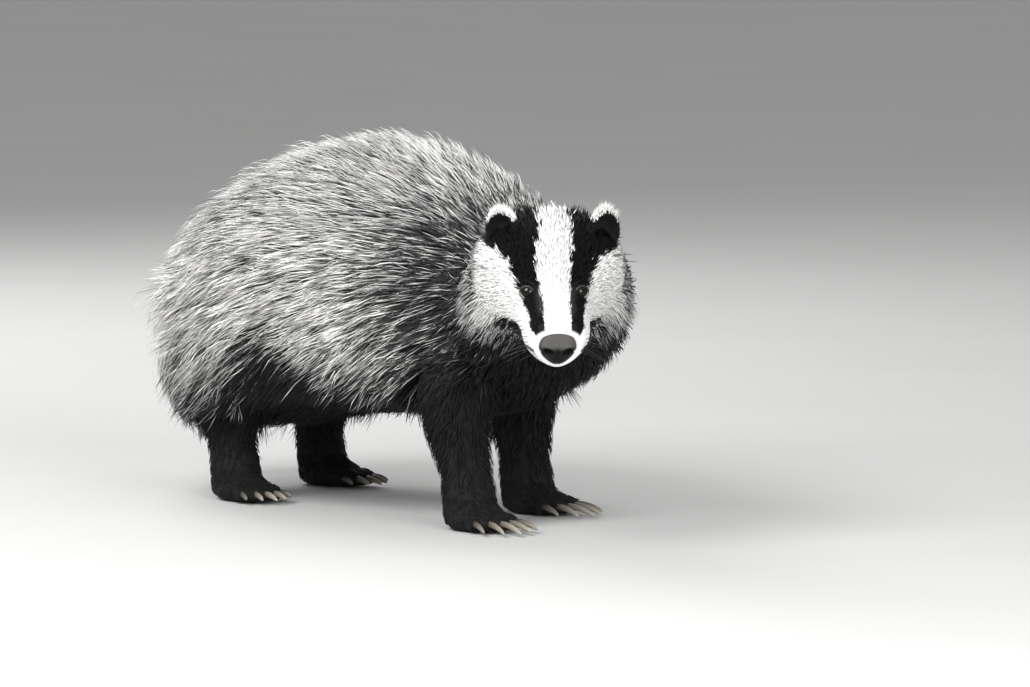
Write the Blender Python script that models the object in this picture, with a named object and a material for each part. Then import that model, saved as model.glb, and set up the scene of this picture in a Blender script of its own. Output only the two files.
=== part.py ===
"""A european badger at life size, standing on its four feet with its head turned to its right.

Metres, +Z up. The badger walks towards -Y and its left side is at +X. The origin is on the
floor, under the middle of the badger's bounding box. Its parts are separate solids that meet
with a gap of GAP, and the long coat is made of flat, tapered locks that follow its lie.
"""

import math
import random

import bmesh
import bpy
from mathutils import Matrix, Vector
from mathutils.bvhtree import BVHTree

GAP = 0.0003  # between two parts that touch
OVER = 1.2  # how much further than the gap a grown copy's flat ends reach
SEED = 14
TRUNK_SEED = 218
LOCK_GAP = 0.0006  # between one part's locks and another part
SHORTEST_EDGE = 0.0009
CORE_SHARE = 0.42  # how much of the coat's depth the dense underfur fills
ROOT_DEPTH = 0.25  # how far a lock's root lies below the skin, as a share of the coat's depth

# Trunk and neck, from the tail's root to the back of the head. Each row is one cross-section:
# x, y, z of its centre, turn to the right and dip in degrees, half width, rise, drop, how round
# its lower half is, coat depth
SPINE_ROWS = {
    "tail root": (0.000, 0.262, 0.152, 0, 0, 0.022, 0.024, 0.030, 0.90, 0.012),
    "seat": (0.000, 0.250, 0.150, 0, 0, 0.056, 0.064, 0.074, 0.80, 0.020),
    "rump": (0.000, 0.222, 0.155, 0, 0, 0.080, 0.080, 0.086, 0.68, 0.027),
    "hips": (0.000, 0.166, 0.166, 0, 0, 0.104, 0.098, 0.096, 0.60, 0.033),
    "loin": (0.000, 0.098, 0.180, 0, 0, 0.114, 0.111, 0.096, 0.62, 0.034),
    "midriff": (0.000, 0.020, 0.186, 0, 0, 0.109, 0.115, 0.092, 0.70, 0.034),
    "chest": (0.000, -0.060, 0.186, 0, 0, 0.094, 0.103, 0.090, 0.72, 0.032),
    "shoulder": (0.000, -0.135, 0.184, 0, 0, 0.081, 0.075, 0.084, 0.76, 0.028),
    "neck base": (-0.010, -0.196, 0.191, 10, 2, 0.070, 0.056, 0.070, 0.85, 0.024),
    "neck": (-0.034, -0.240, 0.207, 22, 10, 0.063, 0.047, 0.061, 0.92, 0.020),
    "nape": (-0.060, -0.272, 0.233, 32, 22, 0.060, 0.038, 0.058, 0.92, 0.014),
}
NECK_FROM = 8  # the place along the rows where the trunk ends and the neck begins
SPINE_SIDES = 20
HEAD_SIDES = 26

# Head, from its back to the nose: distance behind the nose, half width, rise, drop
HEAD_ROWS = {
    "back": (0.146, 0.064, 0.046, 0.060),
    "ears": (0.126, 0.066, 0.048, 0.058),
    "cheeks": (0.103, 0.061, 0.045, 0.054),
    "brow": (0.080, 0.046, 0.037, 0.046),
    "eyes": (0.062, 0.034, 0.028, 0.038),
    "bridge": (0.046, 0.0300, 0.0245, 0.0345),
    "muzzle": (0.031, 0.0290, 0.0215, 0.0325),
    "lips": (0.017, 0.0275, 0.0185, 0.0300),
    "snout": (0.007, 0.0225, 0.0150, 0.0255),
}
NOSE_PLACE = Vector((-0.149, -0.398, 0.179))
HEAD_TURN = math.radians(34.5)
HEAD_DIP = math.radians(27)

# Places on the head: behind the nose, to the side, above the axis
EYE_PLACE = (0.061, 0.0225, 0.0155)
EYE_RADIUS = 0.0075
LID_THICKNESS = 0.0016
EAR_PLACE = (0.126, 0.0445, 0.0405)
EAR_SIZE = (0.0085, 0.0160, 0.0215)  # half thickness, half width, half height
MOUTH_HEIGHT = 0.42  # how far down the muzzle's side the mouth runs, as a share of its drop

# Locks of each part: length, width and thickness at their widest, how far apart the rows and the
# locks in a row are
TRUNK_LOCKS = {"length": 0.105, "width": 0.045, "thick": 0.0078, "rows": 0.048, "apart": 0.039}
NECK_LOCKS = {"length": 0.078, "width": 0.037, "thick": 0.0062, "rows": 0.040, "apart": 0.034}
TAIL_LOCKS = {"length": 0.066, "width": 0.018, "thick": 0.0045, "rows": 0.030, "apart": 0.027}
RUFF_LOCKS = {"length": 0.044, "width": 0.0220, "thick": 0.0045}
RUFF_DEPTH = 0.010  # how far the cheek ruff's tips stand off the head
# A lock's rings: place along it, share of its width, share of its thickness, height as a share
# of the coat's depth
LOCK_RINGS = ((0.00, 0.55, 0.80, -ROOT_DEPTH), (0.27, 1.00, 1.00, 0.42), (0.62, 0.80, 0.62, 0.68))

# Legs, from the body down to the ankle: height, how far towards the foot it has come,
# forward shift, half width, half length
FORELEG_ROWS = {
    "shoulder": (0.175, 0.0, 0.004, 0.020, 0.034),
    "upper arm": (0.140, 0.25, -0.004, 0.026, 0.040),
    "elbow": (0.105, 0.6, -0.012, 0.031, 0.038),
    "forearm": (0.075, 0.8, -0.010, 0.028, 0.031),
    "wrist": (0.050, 0.95, -0.003, 0.0245, 0.0262),
    "ankle": (0.036, 1.0, 0.000, 0.0238, 0.0255),
}
HINDLEG_ROWS = {
    "hip": (0.185, 0.0, 0.000, 0.036, 0.064),
    "thigh": (0.145, 0.3, 0.012, 0.042, 0.064),
    "knee": (0.110, 0.6, 0.014, 0.038, 0.052),
    "shin": (0.080, 0.8, -0.002, 0.030, 0.037),
    "hock": (0.052, 0.95, -0.004, 0.0235, 0.0275),
    "heel": (0.036, 1.0, 0.000, 0.0225, 0.0250),
}
ANKLE_HEIGHT = 0.036
# Each leg: the ankle's place over the floor, where it leaves the body, toe-out in degrees
FORELEGS = {
    "right": ((-0.070, -0.176), (-0.054, -0.140), 6),
    "left": ((0.056, -0.098), (0.054, -0.118), -6),
}
HINDLEGS = {
    "right": ((-0.076, 0.152), (-0.074, 0.160), 8),
    "left": ((0.062, 0.206), (0.072, 0.172), -8),
}
# Each kind of foot: half length and half width of the sole, how far ahead of the ankle it lies,
# how far ahead the middle toe's tip reaches, and the middle claw's length
FOREFOOT = {"length": 0.030, "width": 0.0265, "ahead": 0.012, "reach": 0.054, "claw": 0.032}
HINDFOOT = {"length": 0.033, "width": 0.0240, "ahead": 0.013, "reach": 0.058, "claw": 0.019}
TOE_SPREAD = (-1, -0.5, 0, 0.5, 1)
TOE_SIZE = (0.0165, 0.0064, 0.0085)  # half length, half width, half height
CLAW_RADIUS = 0.0029

# Tail, from its root to its end: y, z, half thickness, coat depth
TAIL_ROWS = {
    "root": (0.262, 0.152, 0.019, 0.012),
    "bend": (0.280, 0.144, 0.015, 0.015),
    "middle": (0.295, 0.121, 0.012, 0.018),
    "brush": (0.301, 0.093, 0.009, 0.020),
    "end": (0.301, 0.068, 0.005, 0.015),
}
TAIL_TIP = (0.300, 0.044)
TAIL_SIDES = 16


def smoothstep(low, high, value):
    share = min(max((value - low) / (high - low), 0.0), 1.0)
    return share * share * (3 - 2 * share)


def row_at(rows, place):
    """The row at a place along a table, on a smooth curve through its rows."""
    table = list(rows.values())
    last = len(table) - 1
    i = min(int(place), last - 1)
    t = place - i
    a, b, c, d = (table[min(max(i + k, 0), last)] for k in (-1, 0, 1, 2))
    return [
        0.5 * (2 * q + (r - p) * t + (2 * p - 5 * q + 4 * r - s) * t * t + (3 * q - p - 3 * r + s) * t**3)
        for p, q, r, s in zip(a, b, c, d)
    ]


def frame_of(turn, dip):
    """Forward, left and up of something that is turned to the right and dipped, in radians."""
    forward = Vector((-math.sin(turn) * math.cos(dip), -math.cos(turn) * math.cos(dip), -math.sin(dip)))
    left = Vector((math.cos(turn), -math.sin(turn), 0))
    return forward, left, forward.cross(left)


def oval(centre, left, up, half_width, rise, drop, sides, square=0.92, upper=0.96):
    """The points of an egg-shaped ring, from its left side over the top."""
    points = []
    for i in range(sides):
        angle = math.tau * (i + 0.5) / sides
        across, over = math.cos(angle), math.sin(angle)
        height, power = (rise, upper) if over > 0 else (drop, square)
        points.append(
            centre
            + left * half_width * math.copysign(abs(across) ** power, across)
            + up * height * math.copysign(abs(over) ** power, over)
        )
    return points


def new_object(name, bm):
    """An object made of a bmesh, with its faces turned outwards."""
    bmesh.ops.recalc_face_normals(bm, faces=bm.faces)
    mesh = bpy.data.meshes.new(name)
    bm.to_mesh(mesh)
    bm.free()
    obj = bpy.data.objects.new(name, mesh)
    bpy.context.scene.collection.objects.link(obj)
    return obj


def loft(name, rings, first_pole=None, last_pole=None):
    """A closed solid through rings of points. An end is flat unless it has a pole."""
    bm = bmesh.new()
    loops = [[bm.verts.new(point) for point in ring] for ring in rings]
    for one, two in zip(loops, loops[1:]):
        edges = []
        for loop in (one, two):
            for a, b in zip(loop, loop[1:] + loop[:1]):
                edges.append(bm.edges.get((a, b)) or bm.edges.new((a, b)))
        bmesh.ops.bridge_loops(bm, edges=edges)
    for loop, pole in ((loops[0], first_pole), (loops[-1], last_pole)):
        if pole is None:
            bm.faces.new(loop)
            continue
        tip = bm.verts.new(pole)
        for a, b in zip(loop, loop[1:] + loop[:1]):
            bm.faces.new((a, b, tip))
    bmesh.ops.triangulate(bm, faces=bm.faces, quad_method="FIXED")
    return new_object(name, bm)


def ball(name, centre, sizes, axes, segments=16, rings=10):
    """An ellipsoid with half sizes along three axes."""
    bm = bmesh.new()
    bmesh.ops.create_uvsphere(bm, u_segments=segments, v_segments=rings, radius=1)
    turned = Matrix([axes[k] * sizes[k] for k in range(3)]).transposed().to_4x4()
    bmesh.ops.transform(bm, matrix=Matrix.Translation(centre) @ turned, verts=bm.verts)
    return new_object(name, bm)


def apply_modifiers(obj):
    graph = bpy.context.evaluated_depsgraph_get()
    mesh = bpy.data.meshes.new_from_object(obj.evaluated_get(graph))
    obj.modifiers.clear()
    obj.data = mesh


def combine(obj, others, operation):
    """One Boolean of an object with a collection of others, which are then removed."""
    if not others:
        return obj
    group = bpy.data.collections.new("operands")
    bpy.context.scene.collection.children.link(group)
    for other in others:
        group.objects.link(other)
    boolean = obj.modifiers.new("combine", "BOOLEAN")
    boolean.operation = operation
    boolean.operand_type = "COLLECTION"
    boolean.collection = group
    boolean.solver = "MANIFOLD"
    apply_modifiers(obj)
    for other in others:
        bpy.data.objects.remove(other)
    bpy.data.collections.remove(group)
    return obj


def fuse(obj, pieces):
    return combine(obj, pieces, "UNION")


def cut(obj, cutters):
    return combine(obj, cutters, "DIFFERENCE")


def volume_of(faces):
    """The volume inside a closed set of faces."""
    total = 0.0
    for face in faces:
        corners = [v.co for v in face.verts]
        for a, b in zip(corners[1:], corners[2:]):
            total += corners[0].dot(a.cross(b))
    return abs(total)


def keep_largest(obj):
    """Keeps only the largest closed surface of a solid."""
    bm = bmesh.new()
    bm.from_mesh(obj.data)
    unseen = set(bm.faces)
    bodies = []
    while unseen:
        body = {unseen.pop()}
        edge_of_body = list(body)
        while edge_of_body:
            face = edge_of_body.pop()
            for neighbour in {f for e in face.edges if len(e.link_faces) == 2 for f in e.link_faces} & unseen:
                unseen.discard(neighbour)
                body.add(neighbour)
                edge_of_body.append(neighbour)
        bodies.append(body)
    largest = max(bodies, key=volume_of)
    loose = [f for body in bodies if body is not largest for f in body]
    bmesh.ops.delete(bm, geom=loose, context="FACES")
    bm.to_mesh(obj.data)
    bm.free()
    return obj


def drop_doubled(bm):
    """Deletes the pairs of triangles that lie back to back on the same three corners."""
    first_at = {}
    doubled = []
    for face in bm.faces:
        corners = frozenset(face.verts)
        if corners in first_at:
            doubled += [face, first_at.pop(corners)]
        else:
            first_at[corners] = face
    bmesh.ops.delete(bm, geom=doubled, context="FACES")


def part_shared_edges(bm):
    """Gives one pair of triangles a corner of its own wherever four of them share an edge."""
    for edge in [edge for edge in bm.edges if len(edge.link_faces) == 4]:
        starts = {loop.face: loop.vert for loop in edge.link_loops}
        first, *others = starts
        second = max((face for face in others if starts[face] is not starts[first]),
                     key=lambda face: face.normal.dot(first.normal))
        middle = bm.verts.new((edge.verts[0].co + edge.verts[1].co) / 2)
        for face in (first, second):
            start, end = starts[face], edge.other_vert(starts[face])
            apex = next(vert for vert in face.verts if vert not in edge.verts)
            bm.faces.new((start, middle, apex))
            bm.faces.new((middle, end, apex))
        bmesh.ops.delete(bm, geom=[first, second], context="FACES_ONLY")
    bm.normal_update()


def may_collapse(edge, keep, drop):
    """Whether a triangle mesh stays closed and unfolded when one vertex moves onto its neighbour."""
    around_keep, around_drop = ({edge.other_vert(vert) for edge in vert.link_edges} for vert in (keep, drop))
    shared = around_keep & around_drop
    apexes = {vert for face in edge.link_faces for vert in face.verts} - {keep, drop}
    if len(shared) != 2 or apexes != shared or any(len(vert.link_edges) < 4 for vert in shared):
        return False
    if any(len(other.link_faces) != 2 for vert in (keep, drop) for other in vert.link_edges):
        return False
    for face in drop.link_faces:
        if keep in face.verts:
            continue
        a, b, c = (v.co for v in face.verts)
        old = (b - a).cross(c - a)
        a, b, c = (keep.co if v is drop else v.co for v in face.verts)
        new = (b - a).cross(c - a)
        if new.length < 1e-10 or new.dot(old) < 0.5 * new.length * old.length:
            return False
    return True


def collapse_short_edges(obj, shortest=SHORTEST_EDGE):
    """Takes out the short edges that Booleans leave, where the surface allows it."""
    bm = bmesh.new()
    bm.from_mesh(obj.data)
    bmesh.ops.dissolve_verts(bm, verts=[vert for vert in bm.verts if len(vert.link_edges) == 2])
    bmesh.ops.triangulate(bm, faces=bm.faces)
    drop_doubled(bm)
    part_shared_edges(bm)
    for _ in range(3):
        short = [edge for edge in bm.edges if edge.calc_length() < shortest]
        short.sort(key=lambda edge: edge.calc_length())
        for edge in short:
            if not edge.is_valid or edge.calc_length() >= shortest:
                continue
            one, two = edge.verts
            for keep, drop in ((one, two), (two, one)):
                if may_collapse(edge, keep, drop):
                    bmesh.ops.pointmerge(bm, verts=[keep, drop], merge_co=keep.co)
                    break
    drop_doubled(bm)
    bmesh.ops.recalc_face_normals(bm, faces=bm.faces)
    bm.to_mesh(obj.data)
    bm.free()
    return obj


def paint(obj, name, colour, roughness, metallic=0.0):
    """Gives an object its material. Parts with the same fur share one."""
    material = bpy.data.materials.get(name)
    if material is None:
        material = bpy.data.materials.new(name)
        material.use_nodes = True
        shader = material.node_tree.nodes["Principled BSDF"]
        shader.inputs["Base Color"].default_value = (*colour, 1)
        shader.inputs["Roughness"].default_value = roughness
        shader.inputs["Metallic"].default_value = metallic
    obj.data.materials.clear()
    obj.data.materials.append(material)
    obj.data.shade_smooth()
    obj.data.set_sharp_from_angle(angle=math.radians(50))


def trim(obj, point, normal):
    """Cuts away what lies beyond a plane, and closes the solid there with a flat face."""
    bm = bmesh.new()
    bm.from_mesh(obj.data)
    everything = bm.verts[:] + bm.edges[:] + bm.faces[:]
    bmesh.ops.bisect_plane(bm, geom=everything, plane_co=point, plane_no=normal, clear_outer=True)
    rim = [edge for edge in bm.edges if edge.is_boundary]
    bmesh.ops.contextual_create(bm, geom=rim)
    bmesh.ops.recalc_face_normals(bm, faces=bm.faces)
    bm.to_mesh(obj.data)
    bm.free()
    return obj


def coat_share(over):
    """How full the coat is at a height on the ring, from -1 under the belly to 1 on the back."""
    return 0.22 + 0.78 * smoothstep(-0.95, -0.35, over)


def spine_ring(place, depth, grow=0.0, ahead=0.0):
    """A cross-section of trunk or neck, at a share of the coat's depth above the skin."""
    x, y, z, turn, dip, half_width, rise, drop, square, coat = row_at(SPINE_ROWS, place)
    forward, left, up = frame_of(math.radians(turn), math.radians(dip))
    centre = Vector((x, y, z)) + forward * ahead
    side = half_width + coat * depth + grow
    top = rise + coat * depth + grow
    bottom = drop + coat * depth * coat_share(-1) + grow
    return oval(centre, left, up, side, top, bottom, SPINE_SIDES, square)


def trunk_core(name, depth, grow=0.0):
    places = [0, 0.4, 0.9, 1.4, 2, 2.8, 3.7, 4.6, 5.5, 6.4, 7.2, NECK_FROM]
    rings = [spine_ring(place, depth, grow) for place in places]
    if grow:
        rings[0] = spine_ring(0, depth, grow, ahead=-grow * OVER)
        rings[-1] = spine_ring(NECK_FROM, depth, grow, ahead=grow * OVER)
    return loft(name, rings)


def neck_core(name, depth, grow=0.0):
    """From the trunk's front face to the back face of the head."""
    rings = [spine_ring(NECK_FROM, depth, grow, ahead=GAP - grow * OVER)]
    rings += [spine_ring(place, depth, grow) for place in (8.4, 8.9, 9.4, 10)]
    rings.append(head_ring(0, grow, GAP - grow * OVER, SPINE_SIDES))
    return loft(name, rings)


def head_point(behind, aside, above):
    """A place on the head: behind the nose, to the head's left, and above its axis."""
    forward, left, up = frame_of(HEAD_TURN, HEAD_DIP)
    return NOSE_PLACE - forward * behind + left * aside + up * above


def head_direction(ahead, aside, above):
    forward, left, up = frame_of(HEAD_TURN, HEAD_DIP)
    return (forward * ahead + left * aside + up * above).normalized()


def head_ring(place, grow=0.0, behind_more=0.0, sides=HEAD_SIDES):
    behind, half_width, rise, drop = row_at(HEAD_ROWS, place)
    _, left, up = frame_of(HEAD_TURN, HEAD_DIP)
    centre = head_point(behind + behind_more, 0, 0)
    return oval(centre, left, up, half_width + grow, rise + grow, drop + grow, sides, 0.88)


def head_core(name, grow=0.0):
    places = [0.6, 1.2, 1.8, 2.4, 3, 3.5, 4, 4.5, 5, 5.6, 6.2, 6.8, 7.4]
    rings = [head_ring(place, grow) for place in places]
    ends = [head_ring(0, grow, behind_more=grow * OVER), head_ring(8, grow, behind_more=-grow * OVER)]
    return loft(name, [ends[0]] + rings + [ends[1]])


def muzzle_path(side, height, sunk, places):
    """Points along the side of the muzzle, at a height given as a share of its drop."""
    points = []
    for place in places:
        behind, half_width, rise, drop = row_at(HEAD_ROWS, place)
        over = min(height, 0.98)
        across = (1 - over ** (2 / 0.88)) ** (0.88 / 2)
        scale = 1 - sunk / half_width
        points.append(head_point(behind, side * half_width * across * scale, -drop * over * scale))
    return points


def tube(name, points, half_height, half_depth, sides=4):
    """A closed rod along points near the muzzle, thinner at both ends."""
    rings = []
    for i, point in enumerate(points):
        ahead = (points[min(i + 1, len(points) - 1)] - points[max(i - 1, 0)]).normalized()
        out = point - head_point(*row_at(HEAD_ROWS, 6)[:1], 0, 0)
        out = (out - ahead * out.dot(ahead)).normalized()
        up = ahead.cross(out)
        thin = 0.35 if i in (0, len(points) - 1) else 1
        ring = []
        for k in range(sides):
            angle = math.tau * k / sides
            wide, tall = half_depth * math.cos(angle), half_height * thin * math.sin(angle)
            ring.append(point + out * wide + up * tall)
        rings.append(ring)
    return loft(name, rings)


def eye_axes(side):
    """The way an eye looks, and its own side and up."""
    look = head_direction(0.66, 0.60 * side, 0.42)
    up = head_direction(0, 0, 1)
    aside = up.cross(look).normalized()
    return look, aside, look.cross(aside)


def eye_ball(name, side, radius):
    behind, aside, above = EYE_PLACE
    centre = head_point(behind, side * aside, above)
    look, across, up = eye_axes(side)
    return ball(name, centre, (radius, radius, radius), (across, up, look), 14, 8)


def eye_opening(name, side):
    """The almond between the lids, carried out along the way that the eye looks."""
    behind, aside, above = EYE_PLACE
    centre = head_point(behind, side * aside, above)
    look, across, up = eye_axes(side)
    rings = []
    for out, scale in ((EYE_RADIUS * 0.55, 1.0), (EYE_RADIUS * 2.2, 1.5)):
        ring = []
        for k in range(16):
            angle = math.tau * k / 16
            wide = 0.0058 * scale * math.cos(angle)
            tall = 0.0047 * scale * math.copysign(abs(math.sin(angle)) ** 1.15, math.sin(angle))
            ring.append(centre + look * out + across * wide + up * tall)
        rings.append(ring)
    return loft(name, rings)


def ear_axes(side):
    """Out of the ear's cup, across it and up it."""
    out = head_direction(0.80, 0.52 * side, 0.30)
    up = head_direction(-0.12, 0.30 * side, 0.95)
    up = (up - out * up.dot(out)).normalized()
    return out, up.cross(out), up


def ear_shell(name, side, grow=0.0):
    behind, aside, above = EAR_PLACE
    sizes = [size + grow for size in EAR_SIZE]
    return ball(name, head_point(behind, side * aside, above), sizes, ear_axes(side), 14, 9)


def make_ear(name, side):
    """A short round ear with an open cup, standing on the head."""
    thick, wide, tall = EAR_SIZE
    out, across, up = ear_axes(side)
    centre = head_point(EAR_PLACE[0], side * EAR_PLACE[1], EAR_PLACE[2])
    ear = ear_shell(name, side)
    cup_sizes = (thick * 1.05, wide * 0.74, tall * 0.78)
    cup = ball("cup", centre + out * thick * 0.72, cup_sizes, (out, across, up), 12, 7)
    cut(ear, [cup, head_core("head grown", GAP)])
    keep_largest(ear)
    paint(ear, "black fur", (0.012, 0.011, 0.011), 0.8)
    return ear


def nose_form(name, grow=0.0):
    """The broad pad of the nose, flattened in front and narrower below."""
    pad = ball(name, head_point(0.0125, 0, 0.0010), (0.0145 + grow, 0.0172 + grow, 0.0142 + grow),
               (head_direction(1, 0, 0.10), head_direction(0, 1, 0), head_direction(-0.10, 0, 1)), 16, 10)
    return trim(pad, head_point(-0.0008 - grow, 0, 0), head_direction(1, 0, 0.18))


def make_nose():
    pad = nose_form("nose")
    nostrils = []
    for side in (-1, 1):
        place = head_point(0.0008, 0.0072 * side, 0.0005)
        axes = (head_direction(0.9, 0.42 * side, -0.1), head_direction(-0.42, 0.9 * side, 0.3),
                head_direction(0.1, -0.3 * side, 1))
        nostrils.append(ball("nostril", place, (0.0042, 0.0030, 0.0024), axes, 8, 6))
    cut(pad, nostrils)
    keep_largest(pad)
    paint(pad, "nose skin", (0.03, 0.028, 0.027), 0.35)
    return pad


def make_eye(name, side):
    eye = eye_ball(name, side, EYE_RADIUS)
    paint(eye, "eye", (0.01, 0.008, 0.007), 0.08)
    return eye


def ruff_locks():
    """The long white hair behind the cheeks, which stands a little off the neck."""
    roots = []
    for side in (-1, 1):
        for behind, angles in ((0.108, (-18, -42, -64)), (0.127, (4, -24, -52))):
            for angle in angles:
                a = math.radians(angle)
                roots.append(head_point(behind, side * 0.062 * math.cos(a), 0.056 * math.sin(a)))
    return lock_set(head_core("surface"), roots, head_lie, head_coat, RUFF_LOCKS, SEED + 1, (0.8, 1.3))


def make_head(ruff):
    """The head with lids over the eyes, a mouth line between lips, and a seat for the nose."""
    head = head_core("head")
    lids = [eye_ball("lid", side, EYE_RADIUS + LID_THICKNESS) for side in (-1, 1)]
    places = [5.0, 5.5, 6.0, 6.5, 7.0, 7.5, 7.85]
    lips = []
    for side in (-1, 1):
        for height in (MOUTH_HEIGHT - 0.10, MOUTH_HEIGHT + 0.10):
            lips.append(tube("lip", muzzle_path(side, height, 0.0008, places), 0.0022, 0.0020))
    fuse(head, lids + lips + lock_solids("ruff", ruff))
    cutters = [nose_form("nose grown", GAP), neck_core("neck grown", CORE_SHARE, GAP)]
    for side in (-1, 1):
        cutters.append(eye_ball("socket", side, EYE_RADIUS + GAP))
        cutters.append(eye_opening("opening", side))
        line = muzzle_path(side, MOUTH_HEIGHT, 0.0, [4.8] + places[1:] + [8.1])
        cutters.append(tube("mouth", line, 0.0007, 0.0026))
    cut(head, cutters)
    keep_largest(head)
    collapse_short_edges(head)
    paint(head, "white and black fur", (0.75, 0.74, 0.72), 0.8)
    return head


def leg_ring(rows, place, leg, grow=0.0):
    height, share, ahead, half_width, half_length = row_at(rows, place)
    (foot_x, foot_y), (body_x, body_y), _ = leg
    x = body_x + (foot_x - body_x) * share
    y = body_y + (foot_y - body_y) * share - ahead
    return oval(Vector((x, y, height)), Vector((1, 0, 0)), Vector((0, -1, 0)),
                half_width + grow, half_length + grow, half_length + grow, 16, 0.92, 0.92)


def leg_form(name, rows, leg, grow=0.0):
    """A leg from inside the trunk down to just above the ankle's face on the foot."""
    rings = [leg_ring(rows, place, leg, grow) for place in (0, 0.7, 1.4, 2, 2.6, 3.3, 4.1, 5)]
    for point in rings[-1]:
        point.z += GAP - grow
    return loft(name, rings)


def leg_below_trunk(name, rows, leg, grow=0.0):
    obj = leg_form(name, rows, leg, grow)
    cut(obj, [trunk_core("trunk grown", CORE_SHARE, GAP), neck_core("neck grown", CORE_SHARE, GAP)])
    return keep_largest(obj)


def make_leg(name, rows, leg):
    obj = collapse_short_edges(leg_below_trunk(name, rows, leg))
    paint(obj, "black fur", (0.012, 0.011, 0.011), 0.8)
    return obj


def foot_frame(leg):
    """A foot's forward and left, on the floor."""
    toe_out = math.radians(leg[2])
    forward, left, _ = frame_of(toe_out, 0)
    return forward, left


def toe_line(leg, foot, spread):
    """Where a toe's tip ends, and the way it points, for a place across the foot."""
    forward, left = foot_frame(leg)
    ankle = Vector((*leg[0], 0))
    turned = math.radians(14) * spread
    ahead = (forward * math.cos(turned) + left * math.sin(turned)).normalized()
    reach = foot["reach"] - 0.010 * spread * spread
    tip = ankle + forward * reach + left * spread * foot["width"] * 0.80
    return tip + Vector((0, 0, 0.0088)), ahead


def make_foot(name, rows, leg, foot):
    """A foot with a flat sole, an ankle stub and five toes with flat tips for the claws."""
    forward, left = foot_frame(leg)
    up = Vector((0, 0, 1))
    ankle = Vector((*leg[0], 0))
    top = leg_ring(rows, 5, leg)
    middle = [p + (forward * 0.002) + Vector((0, 0, 0.022 - ANKLE_HEIGHT)) for p in top]
    bottom = [p + (forward * 0.004) + Vector((0, 0, 0.004 - ANKLE_HEIGHT)) for p in top]
    obj = loft(name, [top, middle, bottom])
    pieces = [
        ball("sole", ankle + forward * foot["ahead"] + up * 0.010,
             (foot["length"], foot["width"], 0.0165), (forward, left, up), 12, 6)
    ]
    length, width, height = TOE_SIZE
    for spread in TOE_SPREAD:
        tip, ahead = toe_line(leg, foot, spread)
        across = up.cross(ahead)
        toe = ball("toe", tip - ahead * length * 0.86, TOE_SIZE, (ahead, across, up), 8, 5)
        pieces.append(trim(toe, tip, ahead))
    fuse(obj, pieces)
    trim(obj, Vector((0, 0, 0)), -up)
    keep_largest(obj)
    collapse_short_edges(obj)
    paint(obj, "black fur", (0.012, 0.011, 0.011), 0.8)
    return obj


def make_claw(name, leg, foot, spread):
    """A long blunt claw, set against its toe's flat tip and curving down to the floor."""
    tip, ahead = toe_line(leg, foot, spread)
    across = Vector((0, 0, 1)).cross(ahead)
    length = foot["claw"] * (1 - 0.22 * abs(spread))
    rings = []
    for share, thick in ((0.0, 1.0), (0.4, 0.92), (0.78, 0.58)):
        bend = math.radians(6 + 26 * share)
        centre = tip + ahead * (GAP + length * share) - Vector((0, 0, length * 0.20 * share * share))
        along = (ahead * math.cos(bend) - Vector((0, 0, math.sin(bend)))) if share else ahead
        up = along.cross(across)
        ring = []
        for k in range(6):
            angle = math.tau * k / 6
            ring.append(centre + across * math.cos(angle) * CLAW_RADIUS * 0.78 * thick
                        + up * math.sin(angle) * CLAW_RADIUS * 1.05 * thick)
        rings.append(ring)
    end = tip + ahead * (GAP + length) - Vector((0, 0, length * 0.20 + 0.0004))
    obj = loft(name, rings, last_pole=end)
    paint(obj, "claw", (0.10, 0.085, 0.07), 0.45)
    return obj


def tail_core(name, depth, grow=0.0):
    """The tail's form, from the trunk's rear face over the bend to its hanging end."""
    rings = []
    last = len(TAIL_ROWS) - 1
    places = [0, 0.5, 1, 1.5, 2, 2.5, 3, 3.5, 4]
    for place in places:
        y, z, half, coat = row_at(TAIL_ROWS, place)
        before = row_at(TAIL_ROWS, max(place - 0.4, 0))
        after = row_at(TAIL_ROWS, min(place + 0.4, last))
        along = Vector((0, after[0] - before[0], after[1] - before[1])).normalized()
        if place == 0:
            along = Vector((0, 1, 0))
            y += GAP - grow * OVER
        across = Vector((1, 0, 0))
        size = half + coat * depth + grow
        centre = Vector((0, y, z))
        rings.append(oval(centre, across, across.cross(along), size * 1.15, size, size, TAIL_SIDES, 1.0))
    return loft(name, rings, last_pole=Vector((0, *TAIL_TIP)))


def spine_place(point):
    """The place along the trunk and neck whose cross-section lies nearest to a point."""
    def distance(step):
        x, y, z = row_at(SPINE_ROWS, step / 10)[:3]
        return (Vector((x, y, z)) - point).length
    return min(range(101), key=distance) / 10


def spine_lie(point):
    """The way the hair of trunk and neck lies: backwards, and more and more down to the rump."""
    turn, dip = row_at(SPINE_ROWS, spine_place(point))[3:5]
    forward, _, _ = frame_of(math.radians(turn), math.radians(dip))
    steep = 0.26 + 0.95 * smoothstep(-0.02, 0.24, point.y)
    return (-forward - Vector((0, 0, steep))).normalized()


def spine_coat(point, normal):
    """The coat's depth at a point of trunk or neck."""
    return row_at(SPINE_ROWS, spine_place(point))[-1] * (0.35 + 0.65 * smoothstep(-0.95, -0.45, normal.z))


def tail_lie(point):
    return Vector((0, 0.55 * smoothstep(0.11, 0.15, point.z), -1)).normalized()


def tail_coat(point, normal):
    return 0.018


def head_lie(point):
    side = 1 if (point - head_point(0.12, 0, 0)).dot(head_direction(0, 1, 0)) > 0 else -1
    return head_direction(-0.72, 0.30 * side, -0.55)


def head_coat(point, normal):
    return RUFF_DEPTH


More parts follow.
